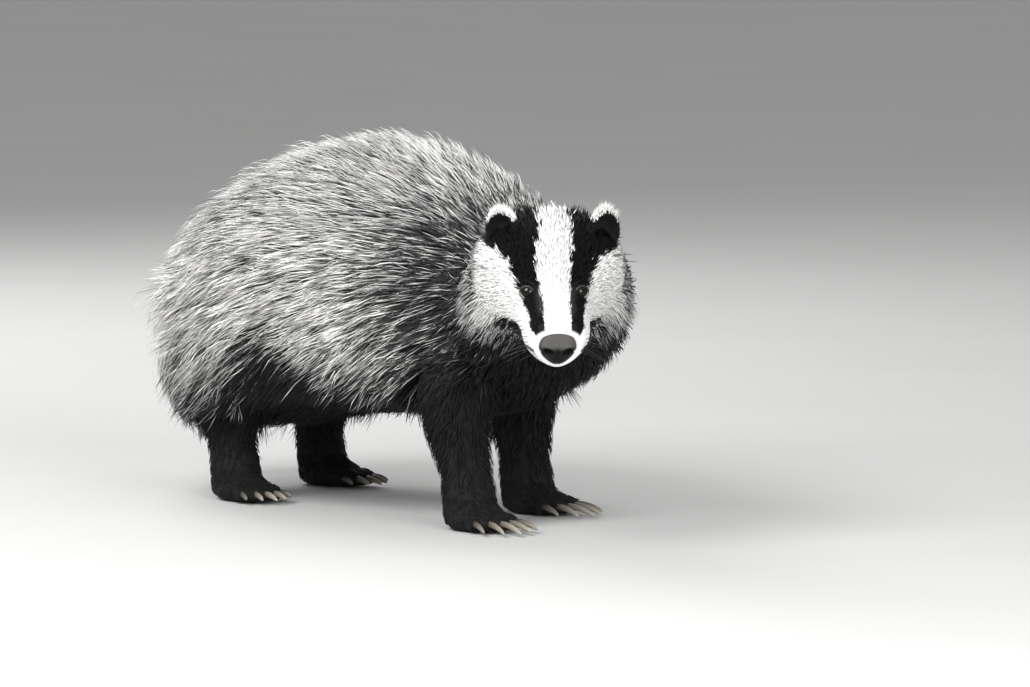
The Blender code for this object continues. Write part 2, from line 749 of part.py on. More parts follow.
def lock_path(tree, lie, coat, root, length, spin, lift):
    """The rings' centres of one lock: it follows the surface along the lie and rises from it."""
    steps = 12
    place, normal, _, _ = tree.find_nearest(root)
    walk = [(place, normal)]
    turned = Matrix.Rotation(spin, 3, normal)
    for _ in range(steps):
        way = lie(place)
        way = turned @ (way - normal * way.dot(normal)).normalized()
        place, normal, _, _ = tree.find_nearest(place + way * length / steps)
        walk.append((place, normal))
    points = []
    for share, _, _, height in LOCK_RINGS + ((1.0, 0, 0, lift),):
        at, up = walk[round(share * steps)]
        points.append((at + up * coat(at, up) * height, up))
    return points


def lock(name, path, width, thick, grow=0.0):
    """One flat, tapered lock with a ridge along its outer side, through its rings' centres."""
    rings = []
    centres = [point for point, _ in path]
    for i, (_, share_wide, share_thick, _) in enumerate(LOCK_RINGS):
        ahead = (centres[i + 1] - centres[max(i - 1, 0)]).normalized()
        across = ahead.cross(path[i][1]).normalized()
        up = across.cross(ahead)
        half, tall = width * share_wide / 2, thick * share_thick
        inner = half * tall / (half + math.hypot(half, tall))
        scale = 1 + grow / inner
        middle = centres[i] + up * inner - ahead * (grow if i == 0 else 0)
        corners = ((half, -inner), (0, tall - inner), (-half, -inner))
        rings.append([middle + across * x * scale + up * y * scale for x, y in corners])
    tip = centres[-1] + (centres[-1] - centres[-2]) * (0.12 if grow else 0)
    return loft(name, rings, last_pole=tip)


def lock_set(surface, roots, lie, coat, sizes, seed, lifts=(0.86, 1.04), avoid=()):
    """Paths and sizes of the locks that grow from a surface, with the spread of real hair.

    A lock that would run into what it must avoid is shorter, or is left out.
    """
    draw = random.Random(seed)
    tree = tree_of(surface)
    locks = []
    for root in roots:
        length = sizes["length"] * draw.uniform(0.85, 1.12)
        width = sizes["width"] * draw.uniform(0.88, 1.15)
        spin = math.radians(draw.uniform(-9, 9))
        lift = draw.uniform(*lifts)
        thick = sizes["thick"] * draw.uniform(0.9, 1.1)
        for share in (1, 0.8, 0.6):
            path = lock_path(tree, lie, coat, root, length * share, spin, lift)
            if not avoid:
                locks.append((path, width, thick))
                break
            hair = tree_of(lock("trial", path, width, thick, LOCK_GAP))
            if not any(hair.overlap(other) for other in avoid):
                locks.append((path, width, thick))
                break
    return locks


def tree_of(obj):
    """A search tree over an object's surface. The object itself is removed."""
    bm = bmesh.new()
    bm.from_mesh(obj.data)
    tree = BVHTree.FromBMesh(bm)
    bm.free()
    bpy.data.objects.remove(obj)
    return tree


def lock_solids(name, locks, grow=0.0):
    return [lock(name, path, width, thick, grow) for path, width, thick in locks]


def roots_on_spine(first, last, lowest, sizes, seed):
    """Roots in staggered rows round the back and flanks, between two places along the spine."""
    draw = random.Random(seed)
    start, end = (Vector(row_at(SPINE_ROWS, place)[:3]) for place in (first, last))
    rows = max(round((end - start).length / sizes["rows"]), 1)
    roots = []
    for row in range(rows + 1):
        place = first + (last - first) * row / rows
        ring = spine_ring(place, 0)
        centre = Vector(row_at(SPINE_ROWS, place)[:3])
        count = len(ring)
        around = [(i, ring[i]) for i in range(count)]
        girth = sum((ring[i] - ring[i - 1]).length for i in range(count))
        number = round(girth / sizes["apart"])
        for k in range(number):
            at = ((k + 0.5 * (row % 2) + draw.uniform(-0.15, 0.15)) / number) % 1 * count
            i = int(at)
            point = ring[i].lerp(ring[(i + 1) % count], at - i)
            if (point - centre).normalized().z < lowest:
                continue
            roots.append(point)
    return roots


def with_locks(core, locks, obstacles):
    """A core with its locks, cut clear of what they would cross."""
    fuse(core, lock_solids("lock", locks))
    cut(core, obstacles)
    keep_largest(core)
    collapse_short_edges(core)
    return keep_largest(core)


def centre_on_floor(objects):
    """Moves everything so that the middle of its bounding box stands over the origin."""
    corners = [v.co for obj in objects for v in obj.data.vertices]
    shift = Vector([-(min(c[k] for c in corners) + max(c[k] for c in corners)) / 2 for k in (0, 1)] + [0])
    for obj in objects:
        obj.data.transform(Matrix.Translation(shift))


def tail_roots(sizes, seed):
    """Roots round the tail, row by row from its root to its end."""
    draw = random.Random(seed)
    roots = []
    for row, place in enumerate((0.8, 1.6, 2.4, 3.1)):
        y, z, half, _ = row_at(TAIL_ROWS, place)
        number = round(math.tau * half / sizes["apart"]) + 1
        for k in range(number):
            angle = math.tau * (k + 0.5 * (row % 2) + draw.uniform(-0.12, 0.12)) / number
            roots.append(Vector((half * math.cos(angle), y + half * math.sin(angle), z)))
    return roots


def main():
    for obj in list(bpy.data.objects):
        bpy.data.objects.remove(obj)

    grey = (0.30, 0.29, 0.28)
    kinds = (("fore", FORELEG_ROWS, FORELEGS, FOREFOOT), ("hind", HINDLEG_ROWS, HINDLEGS, HINDFOOT))
    legs = [tree_of(leg_below_trunk("leg", rows, leg)) for _, rows, pair, _ in kinds for leg in pair.values()]
    ruff = ruff_locks()
    neck_locks = lock_set(
        neck_core("surface", 0), roots_on_spine(8.5, 9.9, -0.62, NECK_LOCKS, SEED + 2),
        spine_lie, spine_coat, NECK_LOCKS, SEED + 2, avoid=legs)
    trunk_locks = lock_set(
        trunk_core("surface", 0), roots_on_spine(1.1, 7.75, -0.60, TRUNK_LOCKS, TRUNK_SEED),
        spine_lie, spine_coat, TRUNK_LOCKS, TRUNK_SEED, avoid=legs)
    tail_locks = lock_set(
        tail_core("surface", 0), tail_roots(TAIL_LOCKS, SEED + 3), tail_lie, tail_coat, TAIL_LOCKS, SEED + 3)

    make_head(ruff)
    make_nose()
    neck = neck_core("neck", CORE_SHARE)
    ears = [ear_shell("ear grown", side, GAP) for side in (-1, 1)]
    obstacles = [head_core("head grown", GAP), trunk_core("trunk grown", CORE_SHARE, GAP)] + ears
    with_locks(neck, neck_locks, obstacles + lock_solids("ruff grown", ruff, LOCK_GAP))
    paint(neck, "grey coat", grey, 0.85)

    tail = tail_core("tail", CORE_SHARE)
    with_locks(tail, tail_locks, [trunk_core("trunk grown", CORE_SHARE, GAP)])
    paint(tail, "grey coat", grey, 0.85)

    for name, side in (("right", -1), ("left", 1)):
        make_eye(f"eye_{name}", side)
        make_ear(f"ear_{name}", side)
        for kind, rows, pair, foot in kinds:
            leg = pair[name]
            make_leg(f"{kind}leg_{name}", rows, leg)
            make_foot(f"{kind}foot_{name}", rows, leg, foot)
            for number, spread in enumerate(TOE_SPREAD, 1):
                make_claw(f"{kind}claw_{name}_{number}", leg, foot, spread)

    torso = trunk_core("torso", CORE_SHARE)
    obstacles = [neck_core("neck grown", CORE_SHARE, GAP), tail_core("tail grown", CORE_SHARE, GAP)]
    obstacles += lock_solids("neck lock grown", neck_locks, LOCK_GAP)
    obstacles += lock_solids("tail lock grown", tail_locks, LOCK_GAP)
    with_locks(torso, trunk_locks, obstacles)
    paint(torso, "grey coat", grey, 0.85)
    centre_on_floor([obj for obj in bpy.data.objects if obj.type == "MESH"])


main()
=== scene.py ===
import math

import bmesh
import bpy
import numpy as np
from mathutils import Matrix, Vector
from mathutils.bvhtree import BVHTree
from mathutils.kdtree import KDTree


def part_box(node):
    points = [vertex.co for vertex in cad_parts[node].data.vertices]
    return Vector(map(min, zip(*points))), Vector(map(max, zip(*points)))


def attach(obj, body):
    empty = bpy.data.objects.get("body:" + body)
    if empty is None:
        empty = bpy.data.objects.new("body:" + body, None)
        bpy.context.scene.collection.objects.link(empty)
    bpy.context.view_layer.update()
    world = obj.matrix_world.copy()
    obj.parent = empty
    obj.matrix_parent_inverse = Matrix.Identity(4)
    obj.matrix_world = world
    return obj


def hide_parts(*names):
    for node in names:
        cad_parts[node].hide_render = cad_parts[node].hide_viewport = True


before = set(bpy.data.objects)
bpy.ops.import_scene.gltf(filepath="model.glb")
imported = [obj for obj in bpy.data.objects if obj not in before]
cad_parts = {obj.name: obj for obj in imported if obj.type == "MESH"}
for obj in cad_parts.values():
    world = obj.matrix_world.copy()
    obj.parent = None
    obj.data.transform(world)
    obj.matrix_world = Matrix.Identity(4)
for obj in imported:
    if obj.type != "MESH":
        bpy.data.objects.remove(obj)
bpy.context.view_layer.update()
print("frame loaded,", len(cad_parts), "nodes")

# the badger walks towards -Y, its left side is at +X, and its head is turned to its right
spine = {
    # from the tail's root to the nape: x, y, z, turn, dip, half width, rise, drop, roundness below,
    # coat depth
    "rows": [
        (0.000, 0.262, 0.152, 0, 0, 0.022, 0.024, 0.030, 0.90, 0.012),
        (0.000, 0.250, 0.150, 0, 0, 0.056, 0.064, 0.074, 0.80, 0.020),
        (0.000, 0.222, 0.155, 0, 0, 0.080, 0.080, 0.086, 0.68, 0.027),
        (0.000, 0.166, 0.166, 0, 0, 0.104, 0.098, 0.096, 0.60, 0.033),
        (0.000, 0.098, 0.180, 0, 0, 0.114, 0.111, 0.096, 0.62, 0.034),
        (0.000, 0.020, 0.186, 0, 0, 0.109, 0.115, 0.092, 0.70, 0.034),
        (0.000, -0.060, 0.186, 0, 0, 0.094, 0.103, 0.090, 0.72, 0.032),
        (0.000, -0.135, 0.184, 0, 0, 0.081, 0.075, 0.084, 0.76, 0.028),
        (-0.010, -0.196, 0.191, 10, 2, 0.070, 0.056, 0.070, 0.85, 0.024),
        (-0.034, -0.240, 0.207, 22, 10, 0.063, 0.047, 0.061, 0.92, 0.020),
        (-0.060, -0.272, 0.233, 32, 22, 0.060, 0.038, 0.058, 0.92, 0.014),
    ],
    "sides": 64,
}
skull = {
    # from the back of the head to the nose: distance behind the nose, half width, rise, drop
    "rows": [
        (0.146, 0.064, 0.046, 0.060),
        (0.126, 0.066, 0.048, 0.058),
        (0.103, 0.061, 0.045, 0.054),
        (0.080, 0.046, 0.037, 0.046),
        (0.062, 0.034, 0.028, 0.038),
        (0.046, 0.0300, 0.0245, 0.0345),
        (0.031, 0.0290, 0.0215, 0.0325),
        (0.017, 0.0275, 0.0185, 0.0300),
        (0.007, 0.0225, 0.0150, 0.0255),
    ],
    "nose": (-0.149, -0.398, 0.179), "turn": 34.5, "dip": 27.0,
    "sides": 144,
    "furAtNose": 0.0010, "furAtCheek": 0.0045,  # how far the skin lies inside the head's outline
}
eye = {"place": (0.061, 0.0225, 0.0155), "radius": 0.0075, "lid": 0.0014, "wide": 0.0062, "tall": 0.0052,
       "look": (0.80, 0.36, 0.48), "inward": 0.0012, "pupil": 24, "iris": 44}
ear = {"place": (0.126, 0.0425, 0.0352), "lean": 0.0030, "thick": 0.0085, "wide": 0.0160, "tall": 0.0212,
       "fur": 0.0012}
legs = {
    # from the body down to the ankle: height, share of the way to the foot, shift ahead, half width,
    # half length
    "foreRows": [
        (0.175, 0.0, 0.004, 0.020, 0.034),
        (0.140, 0.25, -0.004, 0.026, 0.040),
        (0.105, 0.6, -0.012, 0.031, 0.038),
        (0.075, 0.8, -0.010, 0.028, 0.031),
        (0.050, 0.95, -0.003, 0.0245, 0.0262),
        (0.036, 1.0, 0.000, 0.0238, 0.0255),
    ],
    "hindRows": [
        (0.185, 0.0, 0.000, 0.036, 0.064),
        (0.145, 0.3, 0.012, 0.042, 0.064),
        (0.110, 0.6, 0.014, 0.038, 0.052),
        (0.080, 0.8, -0.002, 0.030, 0.037),
        (0.052, 0.95, -0.004, 0.0235, 0.0275),
        (0.036, 1.0, 0.000, 0.0225, 0.0250),
    ],
    # the ankle's place, where the leg leaves the body, toe-out
    "foreRight": ((-0.070, -0.176), (-0.054, -0.140), 6), "foreLeft": ((0.056, -0.098), (0.054, -0.118), -6),
    "hindRight": ((-0.076, 0.152), (-0.074, 0.160), 8), "hindLeft": ((0.062, 0.206), (0.072, 0.172), -8),
    "fur": 0.0045,
}
feet = {
    "fore": {"length": 0.030, "width": 0.0265, "ahead": 0.012, "reach": 0.054, "claw": 0.032},
    "hind": {"length": 0.033, "width": 0.0240, "ahead": 0.013, "reach": 0.058, "claw": 0.019},
    "spreads": (-1, -0.5, 0, 0.5, 1), "toe": (0.0165, 0.0064, 0.0085), "fur": 0.0012,
    "clawRadius": 0.0029, "clawSides": 14,
}
tail = {
    # from its root to its end: y, z, half thickness
    "rows": [
        (0.262, 0.152, 0.019),
        (0.280, 0.144, 0.015),
        (0.295, 0.121, 0.012),
        (0.301, 0.093, 0.009),
        (0.301, 0.068, 0.005),
    ],
    "tip": (0.300, 0.052), "sides": 32,
}


def ease(low, high, value):
    share = np.clip((value - low) / (high - low), 0.0, 1.0)
    return share * share * (3 - 2 * share)


def mix(low, high, share):
    return low + (high - low) * share


def rowAt(rows, place):
    # a smooth curve through the rows
    last = len(rows) - 1
    i = min(int(place), last - 1)
    t = place - i
    a, b, c, d = (rows[min(max(i + k, 0), last)] for k in (-1, 0, 1, 2))
    return [0.5 * (2 * q + (r - p) * t + (2 * p - 5 * q + 4 * r - s) * t * t
                   + (3 * q - p - 3 * r + s) * t ** 3) for p, q, r, s in zip(a, b, c, d)]


def turnedFrame(turn, dip):
    # forward, left and up of something turned to the right and dipped, in degrees
    turn, dip = math.radians(turn), math.radians(dip)
    forward = Vector((-math.sin(turn) * math.cos(dip), -math.cos(turn) * math.cos(dip), -math.sin(dip)))
    left = Vector((math.cos(turn), -math.sin(turn), 0))
    return forward, left, forward.cross(left)


def oval(centre, left, up, halfWidth, rise, drop, sides, below=0.92, above=0.96):
    points = []
    for i in range(sides):
        angle = math.tau * (i + 0.5) / sides
        across, over = math.cos(angle), math.sin(angle)
        height, power = (rise, above) if over > 0 else (drop, below)
        points.append(centre + left * halfWidth * math.copysign(abs(across) ** power, across)
                      + up * height * math.copysign(abs(over) ** power, over))
    return points


headAxes = turnedFrame(skull["turn"], skull["dip"])


def headPoint(behind, aside, above):
    forward, left, up = headAxes
    return Vector(skull["nose"]) - forward * behind + left * aside + up * above


def headWay(ahead, aside, above):
    forward, left, up = headAxes
    return (forward * ahead + left * aside + up * above).normalized()


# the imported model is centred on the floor, so everything made here is moved by the same step
middle = sum(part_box("eye_left"), Vector()) / 2
shift = middle - headPoint(*eye["place"])
shift.z = 0
print("shift", [round(v, 4) for v in shift])


def spineRing(place, sides=spine["sides"], inset=0.0):
    x, y, z, turn, dip, halfWidth, rise, drop, below, _ = rowAt(spine["rows"], place)
    _, left, up = turnedFrame(turn, dip)
    return oval(Vector((x, y, z)), left, up, halfWidth - inset, rise - inset, drop - inset, sides, below)


def furDepth(behind):
    # the depth of the face's fur, from the nose back to the cheeks
    return mix(skull["furAtNose"], skull["furAtCheek"], ease(0.02, 0.10, behind))


def headRing(place, sides, inset=0.0):
    behind, halfWidth, rise, drop = rowAt(skull["rows"], place)
    less = float(furDepth(behind)) + inset
    pinch = 0.88 + 0.32 * float(ease(0.034, 0.008, behind))  # the chin is narrower than the muzzle
    return oval(headPoint(behind, 0, 0), headAxes[1], headAxes[2], halfWidth - less, rise - less,
                drop - less, sides, pinch)


def legRing(rows, leg, place, sides=32, inset=0.0):
    height, share, ahead, halfWidth, halfLength = rowAt(rows, place)
    (footX, footY), (bodyX, bodyY), _ = leg
    centre = Vector((bodyX + (footX - bodyX) * share, bodyY + (footY - bodyY) * share - ahead, height))
    return oval(centre, Vector((1, 0, 0)), Vector((0, -1, 0)), halfWidth - inset, halfLength - inset,
                halfLength - inset, sides, 0.92, 0.92)


def tailRing(place):
    y, z, half = rowAt(tail["rows"], place)
    end = len(tail["rows"]) - 1
    before, after = rowAt(tail["rows"], max(place - 0.4, 0)), rowAt(tail["rows"], min(place + 0.4, end))
    along = Vector((0, after[0] - before[0], after[1] - before[1])).normalized()
    across = Vector((1, 0, 0))
    return oval(Vector((0, y, z)), across, across.cross(along), half * 1.15, half, half, tail["sides"], 1, 1)


def loftRings(bm, rings, tip=None):
    # circles moved to their rings and bridged one to the next, with both ends closed
    loops = []
    for ring in rings:
        verts = bmesh.ops.create_circle(bm, segments=len(ring), radius=1.0)["verts"]
        for vert, point in zip(verts, ring):
            vert.co = point
        loops.append(verts)
    ends = []
    for i, verts in enumerate(loops):
        mine = set(verts)
        edges = [e for e in {e for v in verts for e in v.link_edges} if mine.issuperset(e.verts)]
        if i:
            bmesh.ops.bridge_loops(bm, edges=before + edges)
        before = edges
        if i in (0, len(loops) - 1):
            ends.append(edges)
    bmesh.ops.edgeloop_fill(bm, edges=ends[0])
    caps = bmesh.ops.edgeloop_fill(bm, edges=ends[1])["faces"]
    if tip is not None:
        poked = bmesh.ops.poke(bm, faces=caps)
        for vert in poked["verts"]:
            vert.co = tip
    return bm


def addBall(bm, centre, sizes, axes, segments=24, rings=14):
    turned = Matrix([axes[k] * sizes[k] for k in range(3)]).transposed().to_4x4()
    return bmesh.ops.create_uvsphere(bm, u_segments=segments, v_segments=rings, radius=1,
                                     matrix=Matrix.Translation(centre) @ turned)["verts"]


def footFrame(leg):
    toeOut = math.radians(leg[2])
    return Vector((-math.sin(toeOut), -math.cos(toeOut), 0)), Vector((math.cos(toeOut), -math.sin(toeOut), 0))


def toeLine(leg, foot, spread):
    forward, left = footFrame(leg)
    turned = math.radians(14) * spread
    ahead = (forward * math.cos(turned) + left * math.sin(turned)).normalized()
    reach = foot["reach"] - 0.010 * spread * spread
    tip = Vector((*leg[0], 0)) + forward * reach + left * spread * foot["width"] * 0.80
    return tip + Vector((0, 0, 0.0088)), ahead


def objectOf(name, bm, normals=True):
    if normals:
        bmesh.ops.recalc_face_normals(bm, faces=bm.faces)
    mesh = bpy.data.meshes.new(name)
    bm.to_mesh(mesh)
    bm.free()
    obj = bpy.data.objects.new(name, mesh)
    bpy.context.scene.collection.objects.link(obj)
    return obj


def applyModifiers(obj):
    graph = bpy.context.evaluated_depsgraph_get()
    mesh = bpy.data.meshes.new_from_object(obj.evaluated_get(graph))
    obj.modifiers.clear()
    obj.data = mesh


def coordsOf(mesh):
    co = np.empty(len(mesh.vertices) * 3, np.float32)
    mesh.vertices.foreach_get("co", co)
    return co.reshape(-1, 3).astype(float)


def treeOf(obj):
    bm = bmesh.new()
    bm.from_mesh(obj.data)
    tree = BVHTree.FromBMesh(bm)
    bm.free()
    return tree


# body skin: every form of flesh but the ears, grown into one another
legList = [("fore", "foreRows", "foreRight"), ("fore", "foreRows", "foreLeft"),
           ("hind", "hindRows", "hindRight"), ("hind", "hindRows", "hindLeft")]
shell = {"voxel": 0.0031, "smoothing": 5, "lowest": 0.0012}


def addFoot(bm, leg, foot):
    forward, left = footFrame(leg)
    up = Vector((0, 0, 1))
    ankle = Vector((*leg[0], 0))
    less = feet["fur"]
    addBall(bm, ankle + forward * foot["ahead"] + up * 0.010,
            (foot["length"] - less, foot["width"] - less, 0.0165 - less), (forward, left, up))
    length, width, height = feet["toe"]
    for spread in feet["spreads"]:
        tip, ahead = toeLine(leg, foot, spread)
        across = up.cross(ahead)
        # a toe arches at the knuckle and ends in a rounded pad
        knuckle, pad = tip - ahead * length + up * 0.0008, tip - ahead * length * 0.42 - up * 0.0005
        addBall(bm, knuckle, (length * 0.95, width - less * 0.5, height - less), (ahead, across, up))
        addBall(bm, pad, (length * 0.52, width * 1.02 - less * 0.5, height * 0.86), (ahead, across, up))


def makeBodySkin():
    bm = bmesh.new()
    rings = [spineRing(place) for place in np.linspace(0, 10, 60)]
    rings += [headRing(0.9, spine["sides"], 0.010), headRing(1.6, spine["sides"], 0.014)]
    loftRings(bm, rings)
    loftRings(bm, [headRing(place, 64, 0.003) for place in np.linspace(0, 7.6, 30)])
    loftRings(bm, [tailRing(place) for place in np.linspace(0, 4, 24)], Vector((0, *tail["tip"])))
    for kind, rows, name in legList:
        leg = legs[name]
        forward, left = footFrame(leg)
        rings = [legRing(legs[rows], leg, place, 32, legs["fur"] * (1 - 0.6 * max(place - 4, 0)))
                 for place in np.linspace(0, 5, 26)]
        last = rings[-1]
        rings += [[p + forward * 0.002 - Vector((0, 0, 0.014)) for p in last],
                  [p + forward * 0.004 - Vector((0, 0, 0.030)) for p in last]]
        loftRings(bm, rings)
        addFoot(bm, leg, feet[kind])
    obj = objectOf("bodySkin", bm)
    remesh = obj.modifiers.new("remesh", "REMESH")
    remesh.mode = "VOXEL"
    remesh.voxel_size = shell["voxel"]
    smooth = obj.modifiers.new("smooth", "SMOOTH")
    smooth.iterations = shell["smoothing"]
    smooth.factor = 0.5
    applyModifiers(obj)
    for vert in obj.data.vertices:
        vert.co.z = max(vert.co.z, shell["lowest"])
    return obj


bodySkin = makeBodySkin()
bodyTree = treeOf(bodySkin)
print("body skin,", len(bodySkin.data.polygons), "faces")


# head skin: a finer shell with lids, sockets and the seat of the nose
def eyeAxes(side):
    ahead, aside, above = eye["look"]
    look = headWay(ahead, aside * side, above)
    across = headWay(0, 0, 1).cross(look).normalized()
    return look, across, look.cross(across)


def eyeCentre(side):
    behind, aside, above = eye["place"]
    return headPoint(behind + 0.0010, (aside - eye["inward"]) * side, above - 0.0004)


def napeRings(sides):
    # from inside the neck up to the back of the head
    last = headRing(0, sides)
    steps = ((8.7, 1.0, 0.007), (9.1, 1.0, 0.0015), (9.4, 0.82, 0.0), (9.65, 0.60, -0.001),
             (9.85, 0.34, -0.001), (10, 0.0, 0.0))  # place on the spine, share of the neck, inset
    return [[a.lerp(b, share) for a, b in zip(last, spineRing(place, sides, inset))]
            for place, share, inset in steps]


def makeHeadSkin():
    bm = bmesh.new()
    # the rings lie closest round the eyes
    places = [*np.linspace(0, 3, 34)[:-1], *np.linspace(3, 5, 62)[:-1], *np.linspace(5, 8, 54)]
    rings = napeRings(skull["sides"])[:-1] + [headRing(place, skull["sides"]) for place in places]
    # the muzzle's end turns inwards to the seat of the nose
    _, halfWidth, rise, drop = skull["rows"][-1]
    seat = ((0.0040, 0.93, 0.83), (0.0032, 0.84, 0.76), (0.0060, 0.66, 0.62), (0.0085, 0.38, 0.38))
    for back, size, below in seat:
        rings.append(oval(headPoint(back, 0, -0.0020), headAxes[1], headAxes[2], halfWidth * size,
                          rise * size, drop * below, skull["sides"], 1.2))
    loftRings(bm, rings)
    for side in (-1, 1):
        centre = eyeCentre(side)
        look, across, up = eyeAxes(side)
        for vert in bm.verts:
            away = vert.co - centre
            dist = away.length
            if dist > 0.020:
                continue
            out, x, y = away.dot(look), away.dot(across), away.dot(up)
            lidRadius = eye["radius"] + eye["lid"]
            opening = math.hypot(x / eye["wide"], y / eye["tall"])  # 1 at the lids' edge
            if out > 0 and opening < 1.0:
                vert.co = centre + away.normalized() * min(dist, eye["radius"] * 0.80)
            elif out > -0.001 and math.hypot(x, y) < lidRadius * 1.02:
                vert.co = centre + away.normalized() * max(dist, lidRadius * (1 + math.copysign(0.04, y)))
            else:
                # a soft hollow round the lids
                vert.co -= look * 0.0010 * math.exp(-((math.hypot(x, y) - 0.0115) / 0.0035) ** 2)
    return objectOf("headSkin", bm)


headSkin = makeHeadSkin()
headTree = treeOf(headSkin)


# ears: short round cups with thick rims
def earAxes(side):
    out = headWay(0.80, 0.52 * side, 0.30)
    up = headWay(-0.12, 0.30 * side, 0.95)
    up = (up - out * up.dot(out)).normalized()
    return out, up.cross(out), up


def earCentre(side):
    behind, aside, above = ear["place"]
    return headPoint(behind, aside * side + ear["lean"], above)


def makeEarSkin(side):
    bm = bmesh.new()
    out, across, up = earAxes(side)
    thick, wide, tall = (ear[key] - ear["fur"] for key in ("thick", "wide", "tall"))
    bmesh.ops.create_uvsphere(bm, u_segments=48, v_segments=32, radius=1)
    for vert in bm.verts:
        o, a, u = vert.co
        fromMiddle = min(math.hypot(a, u), 1)
        if o > 0:
            # the front is pushed in to a cup, and the rim stays
            cup = -0.50 * math.sqrt(max(1 - fromMiddle * fromMiddle, 0))
            o = mix(o, cup, float(1 - ease(0.50, 0.90, fromMiddle)))
        vert.co = earCentre(side) + out * o * thick + across * a * wide + up * u * tall
    return objectOf(f"earSkin{side}", bm)


earSkins = {side: makeEarSkin(side) for side in (-1, 1)}
earTrees = {side: treeOf(earSkins[side]) for side in earSkins}
print("head and ears,", len(headSkin.data.polygons), "faces")

# markings: white face with a black stripe from each ear over the eye, grey back, black legs and underside
marks = {
    # how far behind the nose, and at what angle round the head
    "stripeInner": ((0.000, 0.007, 0.018, 0.035, 0.050, 0.095, 0.1385, 0.160),
                    (56, 59, 66.5, 67, 64, 75, 80, 82)),
    "stripeOuter": ((0.000, 0.011, 0.025, 0.048, 0.064, 0.078, 0.092, 0.120, 0.146),
                    (27, 29, 37, 27, 31, 42, 43.5, 31, 25)),
    "whiteBelow": ((0.000, 0.006, 0.014, 0.022, 0.033, 0.072, 0.105, 0.130),
                   (-95, -95, -66, -40, -24, -22, -36, -44)),
    "lips": (-27, 1.6, 0.010, 0.046),  # angle, half width, and from where to where
    "white": 0.93, "black": 0.005, "lean": 0.0035,
    # the height where grey passes into black, along the body from the nape to the tail
    "greyAbove": ((-0.280, -0.240, -0.220, -0.160, -0.100, -0.070, -0.035, 0.008, 0.055, 0.105, 0.220),
                  (0.190, 0.168, 0.152, 0.122, 0.112, 0.113, 0.128, 0.156, 0.128, 0.100, 0.092)),
}


def headCoords(points):
    # behind the nose, to the side, above the axis, and the angle round the head from its side to its top
    p = np.asarray(points) - np.array(skull["nose"])
    forward, left, up = (np.array(axis) for axis in headAxes)
    behind, aside, above = -(p @ forward), p @ left, p @ up
    rows = np.array(skull["rows"])[::-1]
    width, rise, drop = (np.interp(behind, rows[:, 0], rows[:, k]) for k in (1, 2, 3))
    tall = np.where(above > 0, rise, drop)
    lean = marks["lean"] * ease(0.07, 0.12, behind)  # the crown's markings lie a little to the left
    angle = np.degrees(np.arctan2(above / tall, np.abs(aside - lean) / width))
    return behind, aside, above, angle


def headTone(points, wobble=0.0):
    # 0 is black and 1 white; the wobble frays the markings' edges, in degrees
    behind, _, _, angle = headCoords(points)
    angle = angle + wobble
    edges = ("stripeInner", "stripeOuter", "whiteBelow")
    inner, outer, below = (np.interp(behind, *marks[edge]) for edge in edges)
    stripe = (angle > outer) & (angle < inner) & (behind > 0.0055 + 0.0001 * np.abs(wobble))
    white = (angle > below) & ~stripe
    # a painted sheen: a grey patch on the black stripe between eye and nose, beside the white blaze, where
    # the black fur catches the light
    sheen = ease(0.058, 0.048, behind) * ease(0.016, 0.028, behind) * ease(16, 4, inner - angle)
    dark = marks["black"] + 0.042 * sheen
    at, half, first, last = marks["lips"]
    lips = (np.abs(angle - at) < half) & (behind > first) & (behind < last)
    tone = np.where(lips, 0.03, mix(dark, marks["white"], white))
    # behind the ears the face passes into the grizzled neck
    start = 0.105 + 0.027 * ease(14, 32, angle)
    neck = ease(0, 0.022, behind + 0.0014 * wobble - start) * (angle < 60)
    return mix(tone, 0.20, neck)


def bodyTone(points, normals):
    # how grey the coat is: 1 on back and flanks, 0 on legs, belly, throat and chest
    p = np.asarray(points)
    low = np.interp(p[:, 1], *marks["greyAbove"])
    facing = normals @ np.array([-0.35, -0.93, -0.1])
    chest = ease(0.52, 0.80, facing) * ease(-0.12, -0.18, p[:, 1]) * ease(0.25, 0.22, p[:, 2])
    return ease(-0.004, 0.046, p[:, 2] - low) * (1 - chest)


# tufts: three-sided hairs that stand for a few of the real ones
tuft = {
    # how far along a tuft its rings after the root stand, and how wide each ring is
    "longRings": ((0.40, 0.60), (0.66, 0.82)), "longTaper": (0.75, 1.0, 0.72),
    "shortRings": ((0.45, 0.62),), "shortTaper": (0.8, 1.0),
    "lowest": 0.0006, "patch": 0.003,
}


def pick(chosen, *arrays):
    return [array[chosen] for array in arrays]


def gridOf(rings):
    return np.array([[tuple(point) for point in ring] for ring in rings])


def ringShares(rng, count, spans):
    # 0 at the root, 1 at the tip
    between = [rng.uniform(*span, count) for span in spans]
    return np.stack([np.zeros(count), *between, np.ones(count)], axis=1)


def scatter(grid, count, rng, weight=None):
    # random roots spread evenly over a grid of rings, with their places along and round it
    a, b = grid[:-1], grid[1:]
    c, d = np.roll(b, -1, axis=1), np.roll(a, -1, axis=1)
    area = np.linalg.norm(np.cross(b - a, d - a), axis=2)
    rows, sides = area.shape
    if weight is not None:
        along, around = (np.arange(rows) + 0.5) / rows, (np.arange(sides) + 0.5) / sides
        area = area * weight(along[:, None], around[None])
    cells = rng.choice(area.size, count, p=(area / area.sum()).ravel())
    i, j = cells // sides, cells % sides
    s, t = rng.random((2, count, 1))
    points = mix(mix(a[i, j], b[i, j], s), mix(d[i, j], c[i, j], s), t)
    return points, (i + s[:, 0]) / rows, (j + t[:, 0]) / sides


def settle(tree, points):
    # the nearest places on a skin, with their normals and how far off they were
    places, normals, gaps = np.empty_like(points), np.empty_like(points), np.empty(len(points))
    for k, point in enumerate(points):
        place, normal, _, gap = tree.find_nearest(Vector(point))
        places[k], normals[k], gaps[k] = place, normal, gap
    return places, normals, gaps


